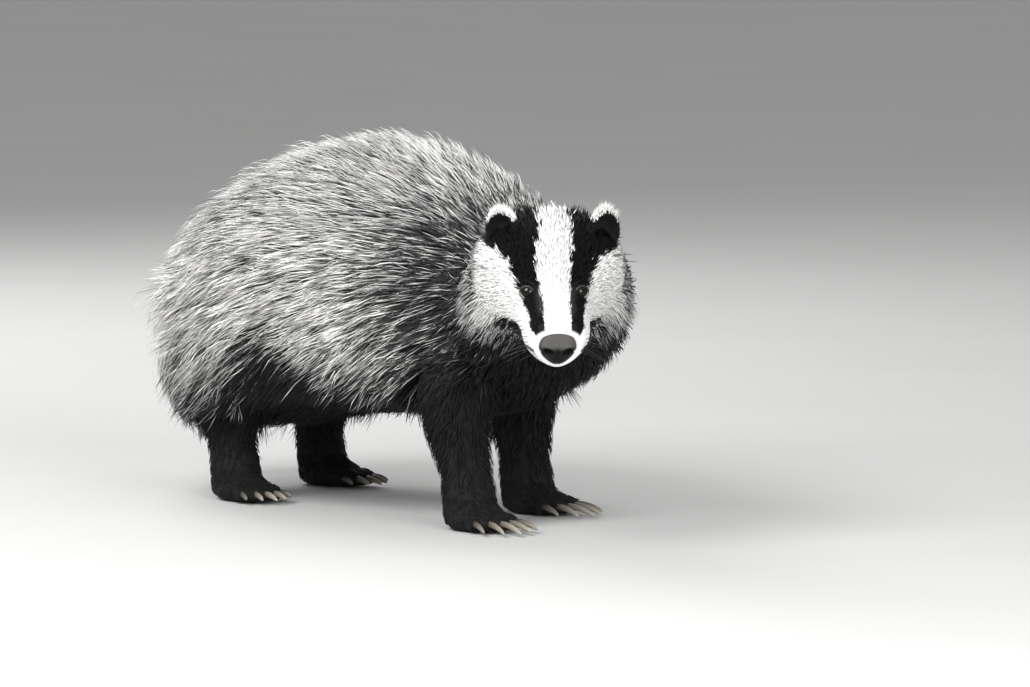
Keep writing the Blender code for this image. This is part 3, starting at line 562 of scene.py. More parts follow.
def unit(v):
    return v / np.maximum(np.linalg.norm(v, axis=-1, keepdims=True), 1e-9)


def clumps(roots, each, rng):
    # the index of the leading hair of each root's clump
    leaders = rng.choice(len(roots), max(len(roots) // each, 1), replace=False)
    tree = KDTree(len(leaders))
    for k, leader in enumerate(leaders):
        tree.insert(Vector(roots[leader]), k)
    tree.balance()
    return np.array([leaders[tree.find(Vector(root))[1]] for root in roots])


def combTufts(tree, roots, normals, lie, length, height, shares, rng, each=14, pull=0.45, spread=7.0,
              sink=0.0015):
    # each tuft follows the skin along its lie and rises from it, and the tips of a clump draw together
    count, rings = len(shares), shares.shape[1] - 1
    way = unit(lie - normals * np.sum(lie * normals, axis=1, keepdims=True))
    leader = clumps(roots, each, rng)
    aside = np.cross(normals, way)
    swing = np.radians(rng.normal(0, spread, count) * 0.6 + rng.normal(0, spread, count)[leader])
    way = way * np.cos(swing)[:, None] + aside * np.sin(swing)[:, None]
    centres, ups = np.empty((count, rings + 1, 3)), np.empty((count, rings + 1, 3))
    centres[:, 0], ups[:, 0] = roots - normals * sink, normals
    for r in range(1, rings + 1):
        run = length * shares[:, r]
        straight = roots + way * run[:, None]
        near, up, gap = settle(tree, straight)
        # a tuft that would jump to another part of the skin stays straight
        lost = gap > 0.55 * run + 0.002
        near[lost], up[lost] = straight[lost], normals[lost]
        rise = (1 - (1 - shares[:, r]) ** 1.5) * height
        centres[:, r], ups[:, r] = near + up * rise[:, None], up
    draw = pull * (0.6 + 0.4 * rng.random(count))[:, None]
    tips = centres[:, rings]
    for r in range(1, rings + 1):
        hold = draw if r == rings else draw * shares[:, r:r + 1] ** 2 * 0.7
        centres[:, r] += (tips[leader] - tips) * hold
    # a tuft that would fold back on itself or curl is laid out straight
    hops = centres[:, 1:] - centres[:, :-1]
    steps = unit(hops)
    turns = np.sum(steps[:, 1:] * steps[:, :-1], axis=2)
    reach = np.linalg.norm(centres[:, -1] - centres[:, 0], axis=1)
    folded = (turns.min(axis=1) < 0.76) | (reach < 0.94 * np.linalg.norm(hops, axis=2).sum(axis=1))
    for r in range(2, rings + 1):
        run = length[folded] * shares[folded, r]
        centres[folded, r] = centres[folded, 0] + steps[folded, 0] * run[:, None]
    return centres, ups, leader


def layTufts(roots, normals, way, length, height, shares, leader, coat):
    # free tufts: each runs straight on from its root, arches a little, and the tips of a clump draw together
    centres = np.empty((*shares.shape, 3))
    for r, share in enumerate(shares.T):
        centres[:, r] = roots - normals * coat["sink"] + way * (length * share)[:, None] \
            + normals * (height * np.sin(share * coat["arch"]))[:, None]
        centres[:, r, 2] -= coat["sag"] * length * share ** 2
    centres[:, -1] += (centres[leader, -1] - centres[:, -1]) * coat["pull"]
    return centres, np.repeat(normals[:, None], shares.shape[1], axis=1)


coatPieces = []


def tuftPiece(name, centres, ups, width, thick, colours, patch):
    # all tufts of a piece as one mesh: three-sided rings, closed at the root and drawn to a point
    count, rings = centres.shape[0], centres.shape[1] - 1
    taper = np.array(tuft["longTaper"] if rings == len(tuft["longTaper"]) else tuft["shortTaper"])
    ahead = np.empty((count, rings, 3))
    for r in range(rings):
        ahead[:, r] = unit(centres[:, r + 1] - centres[:, max(r - 1, 0)])
    across = unit(np.cross(ahead, ups[:, :rings]))
    up = np.cross(across, ahead)
    half = np.broadcast_to(width, count)[:, None] * taper / 2
    rise = np.broadcast_to(thick, count)[:, None] * taper
    verts = np.empty((count, rings * 3 + 1, 3))
    verts[:, 0:-1:3] = centres[:, :rings] + across * half[..., None]
    verts[:, 1:-1:3] = centres[:, :rings] + up * rise[..., None]
    verts[:, 2:-1:3] = centres[:, :rings] - across * half[..., None]
    verts[:, -1] = centres[:, rings]
    verts[..., 2] = np.maximum(verts[..., 2], tuft["lowest"])
    each = rings * 3 + 1
    quads, tris = [], [(2, 1, 0)]
    for r in range(rings - 1):
        for k in range(3):
            m = (k + 1) % 3
            quads.append((r * 3 + k, r * 3 + m, r * 3 + 3 + m, r * 3 + 3 + k))
    for k in range(3):
        tris.append(((rings - 1) * 3 + k, (rings - 1) * 3 + (k + 1) % 3, each - 1))
    base = np.arange(count)[:, None] * each
    loops = np.concatenate([base + np.array(faces).reshape(1, -1) for faces in (quads, tris)], axis=1)
    sizes = np.tile(np.array([4] * len(quads) + [3] * len(tris)), count)
    starts = np.concatenate([[0], np.cumsum(sizes)[:-1]])
    mesh = bpy.data.meshes.new(name)
    mesh.vertices.add(count * each)
    mesh.vertices.foreach_set("co", (verts.reshape(-1, 3) + np.array(shift)).astype(np.float32).ravel())
    mesh.loops.add(loops.size)
    mesh.loops.foreach_set("vertex_index", loops.ravel().astype(np.int32))
    mesh.polygons.add(len(sizes))
    mesh.polygons.foreach_set("loop_start", starts.astype(np.int32))
    mesh.polygons.foreach_set("use_smooth", np.ones(len(sizes), bool))
    mesh.update(calc_edges=True)
    # colours run from root to tip, one for each ring and one for the tip
    tone = np.empty((count, each, 4), np.float32)
    tone[..., 3] = 1
    for r in range(rings):
        tone[:, r * 3:r * 3 + 3, :3] = colours[:, r][:, None, :]
    tone[:, -1, :3] = colours[:, rings]
    mesh.color_attributes.new("coatColor", "FLOAT_COLOR", "POINT").data.foreach_set("color", tone.ravel())
    # a small patch of the map for each tuft, at its root's place on the unwrapped skin
    step = np.linspace(-0.5, 0.5, rings + 1) * tuft["patch"]
    u, v = np.empty((count, each)), np.empty((count, each))
    for r in range(rings):
        for k, side in enumerate((0.5, 0.0, -0.5)):
            u[:, r * 3 + k] = patch[:, 0] + side * tuft["patch"]
            v[:, r * 3 + k] = patch[:, 1] + step[r]
    u[:, -1], v[:, -1] = patch[:, 0], patch[:, 1] + step[-1]
    uv = np.stack([u.ravel()[loops.ravel()], v.ravel()[loops.ravel()]], axis=1).astype(np.float32)
    mesh.uv_layers.new(name="OFBake").data.foreach_set("uv", uv.ravel())
    obj = bpy.data.objects.new(name, mesh)
    bpy.context.scene.collection.objects.link(obj)
    coatPieces.append(obj)


def greys(tone, warmth=0.012):
    # neutral greys with a slight warmth
    tone = np.asarray(tone)
    return np.stack([tone * (1 + warmth), tone, tone * (1 - warmth * 1.5)], axis=-1)


def inPatch(u, v):
    # places on the unwrapped skin, kept a patch's size inside the map
    return mix(tuft["patch"], 1 - tuft["patch"], np.stack([u, v], axis=1))


def headWays(ahead, aside, above):
    # a direction for each tuft, along the head's axes
    return np.stack([ahead, aside, above], axis=1) @ np.array(headAxes)


bodyCoat = {
    "count": 56000, "pieces": 6, "seed": 21, "width": 0.00096, "thick": 0.00030,
    # along the spine's rows, from the tail to the nape
    "length": (0.040, 0.056, 0.064, 0.066, 0.064, 0.060, 0.056, 0.050, 0.042, 0.036, 0.026),
    "root": 0.56, "band": 0.034, "pale": 0.86, "tip": 0.97,
    "standOut": 0.10, "whiteShare": 0.30, "blackShare": 0.10,
}


def thinBelow(along, around):
    # fewer tufts on the belly
    return 1 - 0.55 * ease(0.50, 0.90, -np.sin(math.tau * around))


def outsideHead(roots):
    behind, aside, above, _ = headCoords(roots)
    return (behind >= 0.140) | (np.abs(aside) >= 0.052) | (above >= 0.036) | (above <= -0.048)


def makeBodyCoat():
    rng = np.random.default_rng(bodyCoat["seed"])
    last = len(spine["rows"]) - 1
    places = np.linspace(0, last, 161)
    grid = gridOf([spineRing(place) for place in places])
    roots, along, around = scatter(grid, bodyCoat["count"], rng, thinBelow)
    roots, normals, gaps = settle(bodyTree, roots)
    reach = np.where(roots[:, 1] > 0.235, 0.010, 0.003)  # by the tail the skin lies further from the rings
    roots, normals, along, around = pick((gaps < reach) & outsideHead(roots), roots, normals, along, around)
    count = len(roots)
    table = np.array([rowAt(spine["rows"], place) for place in places])
    turn, dip, depth = (np.interp(along * last, places, table[:, k]) for k in (3, 4, 9))
    turn, dip = np.radians(turn), np.radians(dip)
    over = normals[:, 2]
    steep = 0.20 + 0.95 * ease(-0.02, 0.24, roots[:, 1]) + 0.30 * ease(0.7, -0.4, over)
    lie = np.stack([np.sin(turn) * np.cos(dip), np.cos(turn) * np.cos(dip), np.sin(dip) - steep], axis=1)
    grey = bodyTone(roots, normals)
    below = ease(-0.85, -0.25, over)
    length = np.interp(along * last, np.arange(last + 1), bodyCoat["length"]) * (0.50 + 0.50 * below)
    length *= rng.uniform(0.78, 1.18, count)
    height = depth * (0.35 + 0.65 * below) * (0.50 + 0.48 * rng.random(count) ** 0.7)
    height *= np.where(rng.random(count) < bodyCoat["standOut"], 1.25, 1.0)
    shares = ringShares(rng, count, tuft["longRings"])
    centres, ups, leader = combTufts(bodyTree, roots, normals, lie, length, height, shares, rng)
    width = bodyCoat["width"] * rng.uniform(0.7, 1.25, count)
    thick = bodyCoat["thick"] * rng.uniform(0.8, 1.3, count)
    # each clump is a little lighter or darker than the next, and the shoulder and the low flank are darker
    patchy = rng.normal(0, 1, count)[leader] * 0.55 + rng.normal(0, 1, count) * 0.45
    lightness = np.clip(0.88 + 0.24 * patchy, 0.10, 1.20)
    wander = rng.normal(0, 0.012, count)
    high = roots[:, 2] + wander
    shoulder = ease(-0.070, -0.175, roots[:, 1] + 2 * wander) * ease(0.290, 0.225, high)
    low = ease(0.185, 0.125, high) * (1 - shoulder)
    flank = ease(0.26, 0.22, roots[:, 2]) * (1 - low) * (1 - shoulder)
    lightness *= (1 - 0.18 * shoulder) * (1 - 0.30 * low) * (1 + 0.11 * flank)
    lightness *= 1 - 0.09 * ease(0.4, 0.8, over)
    # banded hair: pale root, dark band, pale again, white tip; the root is kept darker than the tip as
    # painted shade deep in the coat
    black = 0.010 + 0.006 * rng.random(count)
    grey = np.where(rng.random(count) < grey, np.maximum(grey, 0.75), grey * 0.06)
    root = mix(black, bodyCoat["root"], grey * lightness * (1 - 0.8 * shoulder))
    band = mix(black, bodyCoat["band"], grey * lightness)
    pale = mix(black, bodyCoat["pale"], grey * lightness ** 1.3)
    tip = mix(black, bodyCoat["tip"], grey * np.minimum(lightness ** 1.1, 1.05))
    # a share of the hairs is white almost from end to end, and another black to its tip
    white = rng.random(count) < (bodyCoat["whiteShare"] + 0.14 * flank) * grey * (1 - shoulder)
    band = np.where(white, 0.66 * lightness, band)
    dark = rng.random(count) < bodyCoat["blackShare"] + 0.72 * shoulder + 0.26 * low
    pale, tip = np.where(dark, 0.03, pale), np.where(dark, 0.25 * tip, tip)
    colours = greys(np.stack([root, band, pale, tip], axis=1))
    order = np.argsort(along, kind="stable")
    for k, chosen in enumerate(np.array_split(order, bodyCoat["pieces"]), 1):
        first, end = along[chosen].min(), along[chosen].max()
        patch = inPatch(around[chosen], (along[chosen] - first) / (end - first))
        tuftPiece(f"bodyCoat{k}", *pick(chosen, centres, ups, width, thick, colours), patch)
    print("body coat,", count, "tufts")


makeBodyCoat()

headCoat = {"count": 33000, "seed": 33, "width": 0.00058, "thick": 0.00022,
            "eyeHole": (0.0072, 0.0062), "noseHole": (0.0155, 0.0135), "crown": 0.009}


def fineMuzzle(along, around):
    # more and finer tufts towards the nose
    return 1.0 + 1.2 * ease(0.35, 0.75, along)


def bareFace(roots):
    # where the eyes and the nose leave no fur
    wide, tall = headCoat["noseHole"]
    away = roots - np.array(headPoint(0.0125, 0, 0.001))
    _, left, up = (np.array(axis) for axis in headAxes)
    bare = (np.abs(away @ left) < wide) & (headCoords(roots)[0] < 0.012) & (np.abs(away @ up) < tall)
    wide, tall = headCoat["eyeHole"]
    for side in (-1, 1):
        look, across, up = (np.array(axis) for axis in eyeAxes(side))
        away = roots - np.array(eyeCentre(side))
        bare |= (np.hypot((away @ across) / wide, (away @ up) / tall) < 1) & (away @ look > 0)
    return bare


def makeHeadCoat():
    rng = np.random.default_rng(headCoat["seed"])
    grid = gridOf([headRing(place, 96) for place in np.linspace(0, 8, 161)])
    roots, along, around = scatter(grid, headCoat["count"], rng, fineMuzzle)
    roots, normals, _ = settle(headTree, roots)
    roots, normals, along, around = pick(~bareFace(roots), roots, normals, along, around)
    behind, aside, _, angle = headCoords(roots)
    count = len(roots)
    cheek = ease(0.045, 0.095, behind) * ease(60, 10, angle)
    lie = headWays(0.35 * cheek - 1, np.sign(aside) * (0.10 + 0.22 * cheek * ease(-60, 20, angle)),
                   0.10 * ease(50, 80, angle) - 0.10 - 0.42 * cheek)
    lowCheek = ease(0.085, 0.120, behind) * ease(25, -20, angle)
    crown = ease(0.108, 0.134, behind) * ease(35, 60, angle)
    length = 0.0040 + 0.0050 * ease(0.02, 0.08, behind) + 0.0020 * ease(0.08, 0.13, behind)
    length = (length + 0.0060 * lowCheek + headCoat["crown"] * crown) * rng.uniform(0.75, 1.25, count)
    height = furDepth(behind) * (0.55 + 0.75 * rng.random(count) ** 1.4)
    height += headCoat["crown"] / 2 * crown * rng.random(count)
    shares = ringShares(rng, count, tuft["shortRings"])
    centres, ups, _ = combTufts(headTree, roots, normals, lie, length, height, shares, rng, each=7, pull=0.35,
                                spread=8, sink=0.0008)
    tone = headTone(roots, rng.normal(0, 1.6, count))
    wild = rng.uniform(0.92, 1.06, count)
    # the root is painted a little darker than the rest, as painted shade deep in the fur
    colours = greys(np.stack([tone * 0.96, tone * wild, tone * wild], axis=1), 0.008)
    width = headCoat["width"] * (0.8 + 0.75 * ease(0.03, 0.12, behind)) * rng.uniform(0.8, 1.2, count)
    thick = headCoat["thick"] * rng.uniform(0.8, 1.3, count)
    for name, chosen, turned in (("headCoatRight", aside < 0, 0.5), ("headCoatLeft", aside >= 0, 0.0)):
        patch = inPatch((around[chosen] * 2 + turned) % 1, along[chosen])
        tuftPiece(name, *pick(chosen, centres, ups, width, thick, colours), patch)
    print("head coat,", count, "tufts")


makeHeadCoat()

ruff = {"count": 7400, "seed": 39, "width": 0.00092, "thick": 0.0003, "length": (0.007, 0.034),
        "height": (0.0005, 0.0055), "sink": 0.0008, "arch": 1.9, "sag": 0.16, "pull": 0.40}


def makeRuff():
    # the long hair behind and below the cheeks, swept outwards, back and down over neck and throat
    rng = np.random.default_rng(ruff["seed"])
    grid = gridOf([headRing(place, 96) for place in np.linspace(0, 3.3, 70)])
    roots, along, around = scatter(grid, ruff["count"], rng)
    roots, normals, _ = settle(headTree, roots)
    behind, _, _, angle = headCoords(roots)
    keep = (angle < 16) & (angle > -80) & (behind < 0.143)
    keep &= rng.random(len(roots)) < ease(0.070, 0.100, behind) + 0.02
    roots, normals, along, around = pick(keep, roots, normals, along, around)
    behind, aside, _, angle = headCoords(roots)
    count = len(roots)
    low = ease(8, -30, angle)
    size = ease(0.078, 0.125, behind) * (0.15 + 0.85 * low)
    length = mix(*ruff["length"], size) * rng.uniform(0.75, 1.2, count)
    height = mix(*ruff["height"], size) * rng.uniform(0.4, 1.15, count)
    lie = headWays(0.55 * low - 1, np.sign(aside) * (0.14 + 0.44 * low), -0.10 - 0.92 * low)
    way = unit(unit(lie) + normals * 0.12 + rng.normal(0, 0.07, (count, 3)))
    leader = clumps(roots, 7, rng)
    shares = ringShares(rng, count, tuft["longRings"])
    centres, ups = layTufts(roots, normals, way, length, height, shares, leader, ruff)
    face = headTone(roots, rng.normal(0, 3.0, count))
    white = ease(0.25, 0.75, face * (1 - 0.75 * ease(0.098, 0.120, behind + rng.normal(0, 0.004, count))))
    # grey-tipped hair behind and below the white, ever sparser towards the black throat
    banded = (rng.random(count) < 0.80 * ease(-70, -34, angle)) * (1 - white)
    wild = rng.uniform(0.75, 1.1, count)
    tones = [0.012 + 0.80 * white + 0.16 * banded, 0.010 + 0.84 * white * wild + 0.02 * banded,
             0.010 + 0.86 * white * wild + 0.55 * banded * wild, 0.011 + 0.88 * white + 0.80 * banded * wild]
    width = ruff["width"] * rng.uniform(0.7, 1.2, count)
    tuftPiece("cheekRuff", centres, ups, width, ruff["thick"], greys(np.stack(tones, axis=1), 0.008),
              inPatch(around, along))
    print("ruff,", count, "tufts")


makeRuff()

nape = {"count": 5200, "seed": 41, "width": 0.00105, "thick": 0.0003, "length": (0.016, 0.040),
        "height": (0.003, 0.010), "lie": (0.51, 0.75, -0.43)}


def makeNape():
    # the hair that runs from the crown over the back of the head down onto the neck
    rng = np.random.default_rng(nape["seed"])
    rings = [spineRing(place, 96, -0.001) for place in (8.5, 8.8, 9.1)] + napeRings(96)[2:]
    rings += [headRing(place, 96) for place in np.linspace(0.1, 1.0, 10)]
    roots, along, around = scatter(gridOf(rings), nape["count"], rng)
    roots, normals, gaps = settle(headTree, roots)
    behind, aside, _, angle = headCoords(roots)
    atEar = (np.abs(aside) > 0.030) & (behind < 0.134) & (angle > 20)
    keep = (angle > -25) & (gaps < 0.004) & (behind > 0.122) & ~atEar
    roots, normals, along, around, behind = pick(keep, roots, normals, along, around, behind)
    count = len(roots)
    far = ease(0.122, 0.152, behind)
    lie = np.array(nape["lie"]) + rng.normal(0, 0.06, (count, 3))
    length = mix(*nape["length"], far) * rng.uniform(0.75, 1.2, count)
    height = mix(*nape["height"], far) * rng.uniform(0.4, 1.1, count)
    shares = ringShares(rng, count, tuft["longRings"])
    centres, ups, leader = combTufts(headTree, roots, normals, lie, length, height, shares, rng, each=9)
    tone = headTone(roots, rng.normal(0, 2.5, count))
    wild = np.clip(0.85 + 0.2 * rng.normal(0, 1, count)[leader] + 0.1 * rng.normal(0, 1, count), 0.2, 1.15)
    grey = ease(0.132, 0.156, behind + rng.normal(0, 0.004, count))
    # from the head's own colour to banded hair, from root to tip
    tones = [mix(tone, banded, grey) for banded in (0.40 * wild, 0.03, 0.75 * wild, 0.92 * wild)]
    width = nape["width"] * rng.uniform(0.7, 1.2, count)
    tuftPiece("napeCoat", centres, ups, width, nape["thick"], greys(np.stack(tones, axis=1), 0.008),
              inPatch(around, along))
    print("nape,", count, "tufts")


makeNape()

earCoat = {"count": 2500, "seed": 44, "width": 0.00058, "thick": 0.00022, "lowest": -0.85, "ragged": 0.0042}


def makeEarCoat(name, side):
    rng = np.random.default_rng(earCoat["seed"] + side)
    axes = np.array(earAxes(side))
    out, across, up = axes
    sizes = np.array([ear[key] for key in ("thick", "wide", "tall")])
    centre = np.array(earCentre(side))
    count, lowest = earCoat["count"], earCoat["lowest"]
    angle, height = rng.uniform(0, math.tau, count), rng.uniform(lowest, 1.0, count)
    ring = np.sqrt(1 - height ** 2)
    ball = np.stack([np.cos(angle) * ring, np.sin(angle) * ring, height], axis=1)
    roots, normals, _ = settle(earTrees[side], centre + (ball * sizes) @ axes)
    front, wide, tall = ((roots - centre) @ axes.T / sizes).T
    rim = np.hypot(wide, tall)
    lie = wide[:, None] * across + (tall + 0.55)[:, None] * up
    inside = (front > -0.6) & (normals @ out > 0.15) & (rim < 0.80)
    top = (tall > 0.30 + 0.1 * rng.random(count)) & (rim > 0.70 + 0.12 * (1 - tall)) & (front > -0.6)
    length = np.where(inside, 0.0045, np.where(top, 0.0088, 0.0070)) * rng.uniform(0.6, 1.3, count)
    fur = np.where(inside, 0.0012, 0.0020) * rng.uniform(0.6, 1.3, count)
    shares = ringShares(rng, count, tuft["shortRings"])
    centres, ups, _ = combTufts(earTrees[side], roots, normals, lie, length, fur, shares, rng, each=6,
                                pull=0.25, spread=15, sink=0.0006)
    # the ear is black with a ragged white rim
    tone = np.where(top, 0.82, 0.011) * rng.uniform(0.85, 1.1, count)
    centres[top, -1] += up * earCoat["ragged"] * rng.random((top.sum(), 1)) ** 2
    # the root is painted darker than the rest, as painted shade deep in the fur
    colours = greys(np.stack([tone * 0.8, tone, tone], axis=1), 0.008)
    tuftPiece(name, centres, ups, earCoat["width"], earCoat["thick"], colours,
              inPatch(angle / math.tau, (height - lowest) / (1 - lowest)))


makeEarCoat("earCoatRight", -1)
makeEarCoat("earCoatLeft", 1)
print("ear coats done")

legCoat = {"count": 2300, "seed": 55, "width": 0.00100, "thick": 0.00030, "length": 0.016}
footCoat = {"count": 1300, "width": 0.00065, "length": 0.0065, "heel": 0.024, "heights": (0.004, 0.032)}


def makeLegCoat(number, kind, rows, name):
    rng = np.random.default_rng(legCoat["seed"] + number)
    leg, foot = legs[name], feet[kind]
    grid = gridOf([legRing(legs[rows], leg, place, 40, legs["fur"]) for place in np.linspace(0.4, 5, 60)])
    roots, along, around = scatter(grid, legCoat["count"], rng)
    forward, left = (np.array(v) for v in footFrame(leg))
    # the foot is covered from the heel to the toes, but not underneath
    heel = footCoat["heel"]
    ahead = rng.uniform(-heel, foot["reach"], footCoat["count"])
    beside = rng.uniform(-1, 1, footCoat["count"])
    ankle = np.array((*leg[0], 0.0))
    tops = ankle + forward * ahead[:, None] + left * (beside * foot["width"] * 1.05)[:, None]
    tops[:, 2] = rng.uniform(*footCoat["heights"], footCoat["count"])
    isFoot = np.arange(len(roots) + len(tops)) >= len(roots)
    along = np.concatenate([along * 0.7, 0.7 + 0.3 * (ahead + heel) / (foot["reach"] + heel)])
    around = np.concatenate([around, (beside + 1) / 2])
    roots, normals, gaps = settle(bodyTree, np.concatenate([roots, tops]))
    keep = np.where(isFoot, gaps < 0.020, gaps < 0.003) & (roots[:, 2] > 0.003) & (normals[:, 2] > -0.75)
    roots, normals, along, around, isFoot = pick(keep, roots, normals, along, around, isFoot)
    count = len(roots)
    nearFoot = ease(0.045, 0.024, roots[:, 2])[:, None]
    lie = mix(np.array([0, 0.30, -1.0]), forward * 0.9 + np.array([0, 0, -0.55]), nearFoot)
    onLeg = legCoat["length"] * (1 - 0.4 * ease(0.09, 0.04, roots[:, 2]))
    length = np.where(isFoot, footCoat["length"], onLeg) * rng.uniform(0.75, 1.25, count)
    tall = np.where(isFoot, feet["fur"], legs["fur"] * (1 - 0.55 * ease(0.07, 0.04, roots[:, 2])))
    height = tall * (0.45 + 0.65 * rng.random(count))
    shares = ringShares(rng, count, tuft["shortRings"])
    centres, ups, _ = combTufts(bodyTree, roots, normals, lie, length, height, shares, rng, each=8, pull=0.4,
                                spread=8, sink=0.0008)
    grey = bodyTone(roots, normals)
    tone = 0.009 + 0.008 * rng.random(count) + 0.10 * grey * rng.random(count)
    colours = greys(np.stack([tone, tone, tone * 1.5], axis=1), 0.02)
    width = np.where(isFoot, footCoat["width"], legCoat["width"]) * rng.uniform(0.8, 1.2, count)
    tuftPiece(name + "Coat", centres, ups, width, legCoat["thick"], colours, inPatch(around, along))


for number, (kind, rows, name) in enumerate(legList):
    makeLegCoat(number, kind, rows, name)
print("leg coats done")

tailCoat = {"count": 3600, "seed": 77, "width": 0.00110, "thick": 0.00035, "length": 0.048, "height": 0.0056,
            "rings": ((0.36, 0.56), (0.70, 0.86)), "sink": 0.001, "arch": 2.2, "sag": 0.0, "pull": 0.35,
            "tones": (0.42, 0.60, 0.34, 0.86)}


def makeTailCoat():
    rng = np.random.default_rng(tailCoat["seed"])
    grid = gridOf([tailRing(place) for place in np.linspace(0, len(tail["rows"]) - 1, 50)])
    roots, along, around = scatter(grid, tailCoat["count"], rng)
    roots, normals, gaps = settle(bodyTree, roots)
    roots, normals, along, around = pick(gaps < 0.010, roots, normals, along, around)
    count = len(roots)
    lie = np.stack([np.zeros(count), 0.55 * ease(0.11, 0.15, roots[:, 2]), -np.ones(count)], axis=1)
    length = tailCoat["length"] * (1 - 0.30 * along) * rng.uniform(0.55, 1.20, count)
    shares = ringShares(rng, count, tailCoat["rings"])
    # the hair runs on past the tail's end, so it is laid straight and not along the skin
    leader = clumps(roots, 10, rng)
    way = unit(lie + normals * 0.20 + rng.normal(0, 0.06, (count, 3)))
    height = tailCoat["height"] * (0.4 + 0.6 * rng.random(count))
    centres, ups = layTufts(roots, normals, way, length, height, shares, leader, tailCoat)
    # the brush narrows to a point
    taper = 0.80 * ease(0.105, 0.030, centres[:, 1:, 2])
    centres[:, 1:, 0] *= 1 - taper
    centres[:, 1:, 1] = mix(centres[:, 1:, 1], tail["rows"][-1][0], taper)
    patchy = 0.22 * rng.normal(0, 1, count)[leader] + 0.15 * rng.normal(0, 1, count)
    lightness = np.clip(0.80 + patchy, 0.2, 1.15)
    width = tailCoat["width"] * rng.uniform(0.7, 1.2, count)
    tuftPiece("tailCoat", centres, ups, width, tailCoat["thick"],
              greys(lightness[:, None] * np.array(tailCoat["tones"])), inPatch(around, along))
    print("tail coat,", count, "tufts")


makeTailCoat()


# one skin under all of it, with the same markings as the coat
def paintVerts(obj, colours):
    rgba = np.ones((len(colours), 4), np.float32)
    rgba[:, :3] = colours
    obj.data.color_attributes.new("coatColor", "FLOAT_COLOR", "POINT").data.foreach_set("color", rgba.ravel())


def joinPieces(name, pieces):
    bm = bmesh.new()
    for piece in pieces:
        bm.from_mesh(piece.data)
        bpy.data.objects.remove(piece)
    obj = objectOf(name, bm, normals=False)
    obj.data.shade_smooth()
    return obj


bodyNormals = np.array([vert.normal[:] for vert in bodySkin.data.vertices])
paintVerts(bodySkin, greys(0.007 + 0.200 * bodyTone(coordsOf(bodySkin.data), bodyNormals)))
paintVerts(headSkin, greys(headTone(coordsOf(headSkin.data)) * 0.94, 0.008))
for side in (-1, 1):
    paintVerts(earSkins[side], greys(np.full(len(earSkins[side].data.vertices), 0.005)))
skin = joinPieces("skin", [bodySkin, headSkin, earSkins[-1], earSkins[1]])
skin.data.transform(Matrix.Translation(shift))
print("skin,", len(skin.data.polygons), "faces")


def finishPiece(name, bm, paint):
    # painted by its own points, moved to its place in the model and shaded smooth
    obj = objectOf(name, bm)
    paintVerts(obj, paint(coordsOf(obj.data)))
    obj.data.transform(Matrix.Translation(shift))
    obj.data.shade_smooth()
    return obj


def paintDark(points):
    return greys(np.full(len(points), 0.010))


# eyes: dark wet balls with a hardly lighter iris round the pupil
def makeEye(name, side):
    bm = bmesh.new()
    look, across, up = eyeAxes(side)
    centre = eyeCentre(side)
    addBall(bm, centre, (eye["radius"],) * 3, (across, up, look), 48, 32)

    def paint(points):
        away = np.degrees(np.arccos(np.clip(unit(points - np.array(centre)) @ np.array(look), -1, 1)))
        tone = np.where(away < eye["pupil"], 0.002, np.where(away < eye["iris"], 0.007, 0.004))
        return np.stack([tone * 1.25, tone * 0.85, tone * 0.6], axis=1)

    return finishPiece(name, bm, paint)


def makeLids():
    # a rolled rim round each eye, pulled into an almond that hugs the ball
    bm = bmesh.new()
    for side in (-1, 1):
        look, across, up = eyeAxes(side)
        others = set(bm.verts)
        upright = Matrix.Translation((1, 0, 0)) @ Matrix.Rotation(math.pi / 2, 4, "X")
        ring = bmesh.ops.create_circle(bm, segments=10, radius=0.00105, matrix=upright)["verts"]
        edges = list({e for v in ring for e in v.link_edges})
        bmesh.ops.spin(bm, geom=ring + edges, cent=(0, 0, 0), axis=(0, 0, 1), angle=math.tau, steps=48,
                       use_merge=True)
        for vert in set(bm.verts) - others:
            x, y, z = vert.co
            flat = math.hypot(x, y)
            x, y = x / flat, y / flat
            wide = eye["wide"] * x * 0.99
            tall = eye["tall"] * math.copysign(abs(y) ** 1.15, y) * 0.99
            depth = math.sqrt((eye["radius"] + 0.0005) ** 2 - wide * wide - tall * tall)
            spot = eyeCentre(side) + look * depth + across * wide + up * tall
            vert.co = spot + (across * x + up * y) * (flat - 1) + look * z
    bmesh.ops.remove_doubles(bm, verts=bm.verts, dist=1e-6)

    def paint(points):
        # a painted highlight: the wet edge of the lower lid is painted pale where it catches the light, the
        # rest black
        tone = np.full(len(points), 0.007)
        for side in (-1, 1):
            _, across, up = (np.array(axis) for axis in eyeAxes(side))
            away = points - np.array(eyeCentre(side))
            opening = np.hypot((away @ across) / eye["wide"], (away @ up) / eye["tall"])
            near = np.linalg.norm(away, axis=1) < 0.02
            tone += near * 0.16 * ease(-0.0005, -0.0030, away @ up) * ease(1.04, 0.96, opening)
        return greys(tone, 0.02)

    return finishPiece("lids", bm, paint)


eyes = {"eye_right": makeEye("eyeRight", -1), "eye_left": makeEye("eyeLeft", 1)}
lids = makeLids()

# nose: a broad pebbled pad, flattened in front, with comma-shaped nostrils and a groove down the middle
nose = {"centre": (0.0108, 0, -0.0040), "size": (0.0150, 0.0172, 0.0182), "front": 0.0132,
        "nostrilAside": 0.0080, "nostrilDeep": 0.0046, "slitAside": 0.0128, "slitDeep": 0.0024,
        "wing": 0.0005, "groove": 0.0011}


